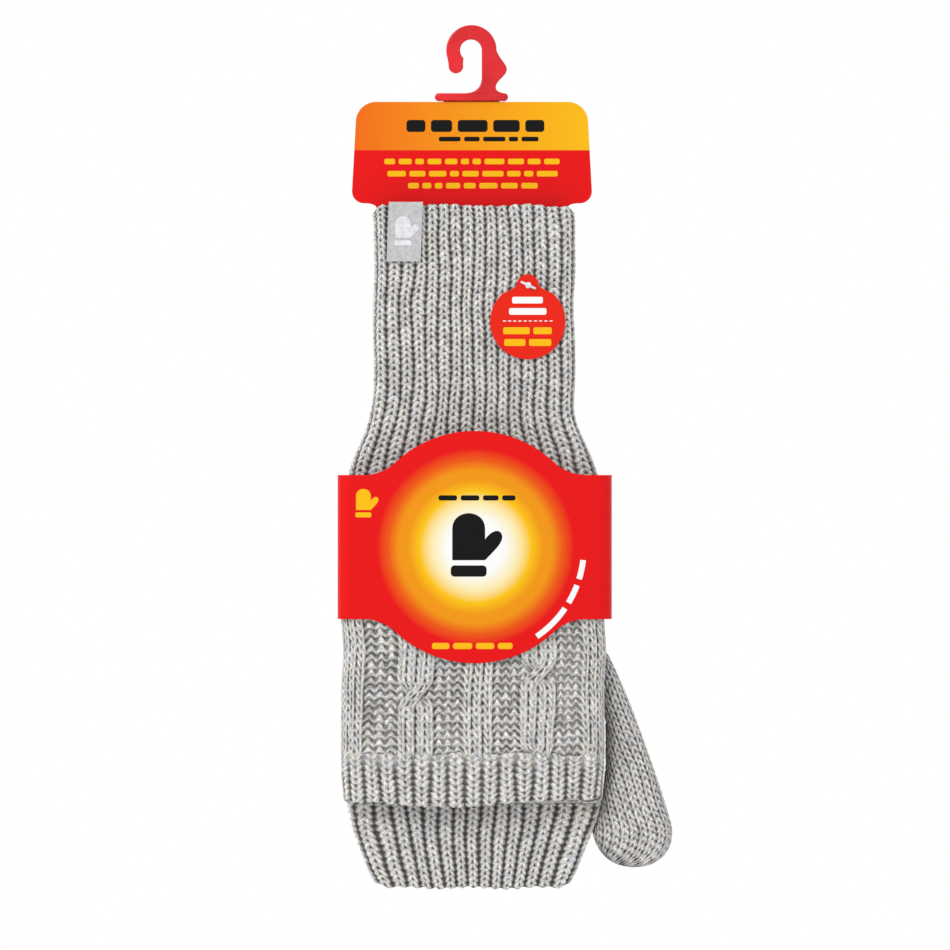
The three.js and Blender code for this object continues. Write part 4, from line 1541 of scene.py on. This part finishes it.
def band_path():
    """(x, y, nx, ny, lift) round the sleeve from its glued end beneath to the one on top, at the back."""
    flat, deep = BAND_HALF - BAND_CORNER, BAND_DEPTH - BAND_CORNER
    path = [(x, BAND_DEPTH, 0, 1, 0) for x in np.arange(OVERLAP[1], -flat, -0.8)]
    for corner_x, corner_y, start in ((-flat, deep, PI / 2), (-flat, -deep, PI), (flat, -deep, 1.5 * PI),
                                      (flat, deep, 2 * PI)):
        for a in np.linspace(start, start + PI / 2, 10):
            path.append((corner_x + BAND_CORNER * math.cos(a), corner_y + BAND_CORNER * math.sin(a),
                         math.cos(a), math.sin(a), 0))
        if start == PI:
            path += [(x, -BAND_DEPTH, 0, -1, 0) for x in np.linspace(-flat, flat, 140)[1:-1]]
        elif start != 2 * PI:
            y0, y1 = (deep, -deep) if start == PI / 2 else (-deep, deep)
            path += [(math.copysign(BAND_HALF, corner_x), y, math.copysign(1, corner_x), 0, 0)
                     for y in np.linspace(y0, y1, 12)[1:-1]]
    for x in np.arange(flat, OVERLAP[0], -0.8):
        lift = float(smooth((OVERLAP[1] + 9 - x) / 8)) * (BAND_CARD + 0.05)
        path.append((x, BAND_DEPTH, 0, 1, lift))
    return path


def belly_band():
    """The card sleeve round both mittens and both folded flaps, glued at the back."""
    rows = 13
    path = band_path()
    points = []
    for inset in (0, BAND_CARD):
        for x, y, nx, ny, lift in path:
            half = band_edge(x) if abs(ny) > 0.999 else BAND_RISE
            out = lift - inset
            points += [(BAND_X + x + nx * out, y + ny * out, BULGE_Z + z)
                       for z in np.linspace(half, -half, rows)]
    faces, edges = slab(len(path), rows)
    mesh = Shape().add(points, np.vstack([faces, edges]).tolist()).mesh("belly_band")
    piece("belly_band_look", mesh, BAND_PRINT, "belly_band", "belly_band")
    mesh.materials.append(CORE)
    for polygon in mesh.polygons[len(faces):]:
        polygon.material_index = 1


def band_print():
    """A mitten sign in the glow, a small one at the left, and bars for words, some of them on an arc."""
    face = BAND_LOW[1]
    dark = pictogram(Shape(), 0.4, -198.3, 29, face)
    greeked(dark, -12.8, 17.1, -180.9, -178.9, face, seed=5, radius=0.8, word=(4, 8))
    part("band_sign", dark, DARK_INK, "belly_band")
    amber = greeked(Shape(), -15.3, 16, -238.6, -236.2, face, seed=7, radius=0.9, word=(6, 9))
    pictogram(amber, -41.3, -182, 13, face)
    part("band_caption", amber, AMBER_INK, "belly_band")
    words = Shape()
    for start, end in ((-0.97, -0.60), (-0.54, -0.36), (-0.30, -0.12)):
        outer = arc(*GLOW_CENTRE, 43.2, start, end, 16)
        inner = arc(*GLOW_CENTRE, 41.0, end, start, 16)
        ink(words, outer + inner, face)
    part("band_words", words, WHITE_INK, "belly_band")


def tag_outline():
    """A disc with a small lobe at its top, round the pin's hole."""
    neck, lobe = 0.72, 4.3
    rise = PIN_Z - TAG_Z
    disc = arc(0, 0, TAG_R, -PI / 2, PI / 2 - neck, 40)
    side = disc + curve(disc[-1], (lobe + 0.9, TAG_R - 1.7), (lobe, rise)) + arc(0, rise, lobe, 0, PI / 2)
    return [(TAG_X + x, TAG_Z + z) for x, z in side] + [(TAG_X - x, TAG_Z + z) for x, z in side[::-1]]


def swing_tag():
    """A round card tag with two lines of print over a dashed line, and two under it."""
    thick = TAG_HIGH[1] - TAG_LOW[1]
    hole = arc(PIN_X, PIN_Z, 1.0, 2 * PI, 0, 28)
    mesh = plate("swing_tag", [tag_outline(), hole], thick, y=(TAG_HIGH[1] + TAG_LOW[1]) / 2, bevel=0.06)
    piece("swing_tag_look", mesh, TAG_PRINT, "swing_tag", "swing_tag")
    face = TAG_LOW[1]
    white = greeked(Shape(), 15.9, 27.9, -104, -101.4, face, seed=8, radius=0.7, word=(10, 12))
    greeked(white, 14.7, 29.3, -108.4, -105.8, face, seed=9, radius=0.7, word=(12, 14))
    for x in np.linspace(12.9, 31.1, 10):
        ink(white, rounded(x - 0.62, x + 0.62, -111.05, -110.65, 0.18), face)
    part("tag_words", white, WHITE_INK, "swing_tag")
    amber = greeked(Shape(), 12.4, 31.4, -116, -113.3, face, seed=10, radius=0.7, word=(6, 10))
    greeked(amber, 12.8, 31.2, -120.6, -117.9, face, seed=11, radius=0.7, word=(16, 18))
    part("tag_lines", amber, AMBER_INK, "swing_tag")


def tag_pin():
    """A thin stem through tag, cuffs and card, with a cross bar at each end."""
    shape = Shape()
    front, rear = PIN_LOW[1] + 0.5, PIN_HIGH[1] - 0.5
    rod(shape, [(PIN_X, front + 0.2, PIN_Z), (PIN_X, 0, PIN_Z), (PIN_X, rear - 0.2, PIN_Z)],
        radius=0.42, sides=16)
    along = np.array([math.cos(BAR_TILT), 0, math.sin(BAR_TILT)])
    for y in (front, rear):
        centre = np.array([PIN_X, y, PIN_Z])
        steps = np.linspace(-2.85, 2.85, 9)[:, None]
        rod(shape, centre + along * steps, radius=0.5, sides=14)
    boss = [(0.5, 0.25), (1.1, 0.3), (1.25, 0.45), (1.2, 0.75), (0.9, 0.9), (0.3, 0.95)]
    lathe(shape, boss, (PIN_X, PIN_Z), front + 0.85, 28)
    part("tag_pin_look", shape, PIN_PLASTIC, PAIR, "tag_pin")


hook()
header_card()
belly_band()
band_print()
swing_tag()
tag_pin()

# ------------------------------------------------------------------ floor, light and camera

LAMP_PLACE = Vector((-0.75, -1.0, 0.65))
LAMP_AIM = Vector((0, 0, -0.19))
FLOOR_Z = -0.46
EYE_PLACE = (0.0014, -2.0, -0.171)


def studio():
    """A white surround, a pale floor well below the part, and one soft lamp from the upper left."""
    world = bpy.data.worlds.new("studio")
    bpy.context.scene.world = world
    world.use_nodes = True
    background = world.node_tree.nodes["Background"]
    background.inputs["Color"].default_value = (1, 1, 1, 1)
    background.inputs["Strength"].default_value = 1.0
    bpy.ops.mesh.primitive_plane_add(size=1.2, location=(0, 0, FLOOR_Z))
    floor = bpy.context.object
    floor.name = "floor"
    material, _, shader = new_material("pale_floor")
    shader.inputs["Base Color"].default_value = (0.9, 0.9, 0.9, 1)
    floor.data.materials.append(material)
    key = bpy.data.lights.new("key", "AREA")
    key.size = 0.7
    key.energy = 11
    lamp = bpy.data.objects.new("key", key)
    lamp.location = LAMP_PLACE
    lamp.rotation_euler = (LAMP_AIM - LAMP_PLACE).to_track_quat("-Z", "Y").to_euler()
    bpy.context.collection.objects.link(lamp)


def camera():
    """Square from the front, through a long lens."""
    lens = bpy.data.cameras.new("camera")
    lens.sensor_width = 36
    lens.lens = 193
    eye = bpy.data.objects.new("camera", lens)
    eye.location = EYE_PLACE
    eye.rotation_euler = (PI / 2, 0, 0)
    bpy.context.collection.objects.link(eye)
    bpy.context.scene.camera = eye


studio()
camera()
bpy.context.scene.view_settings.view_transform = "Standard"
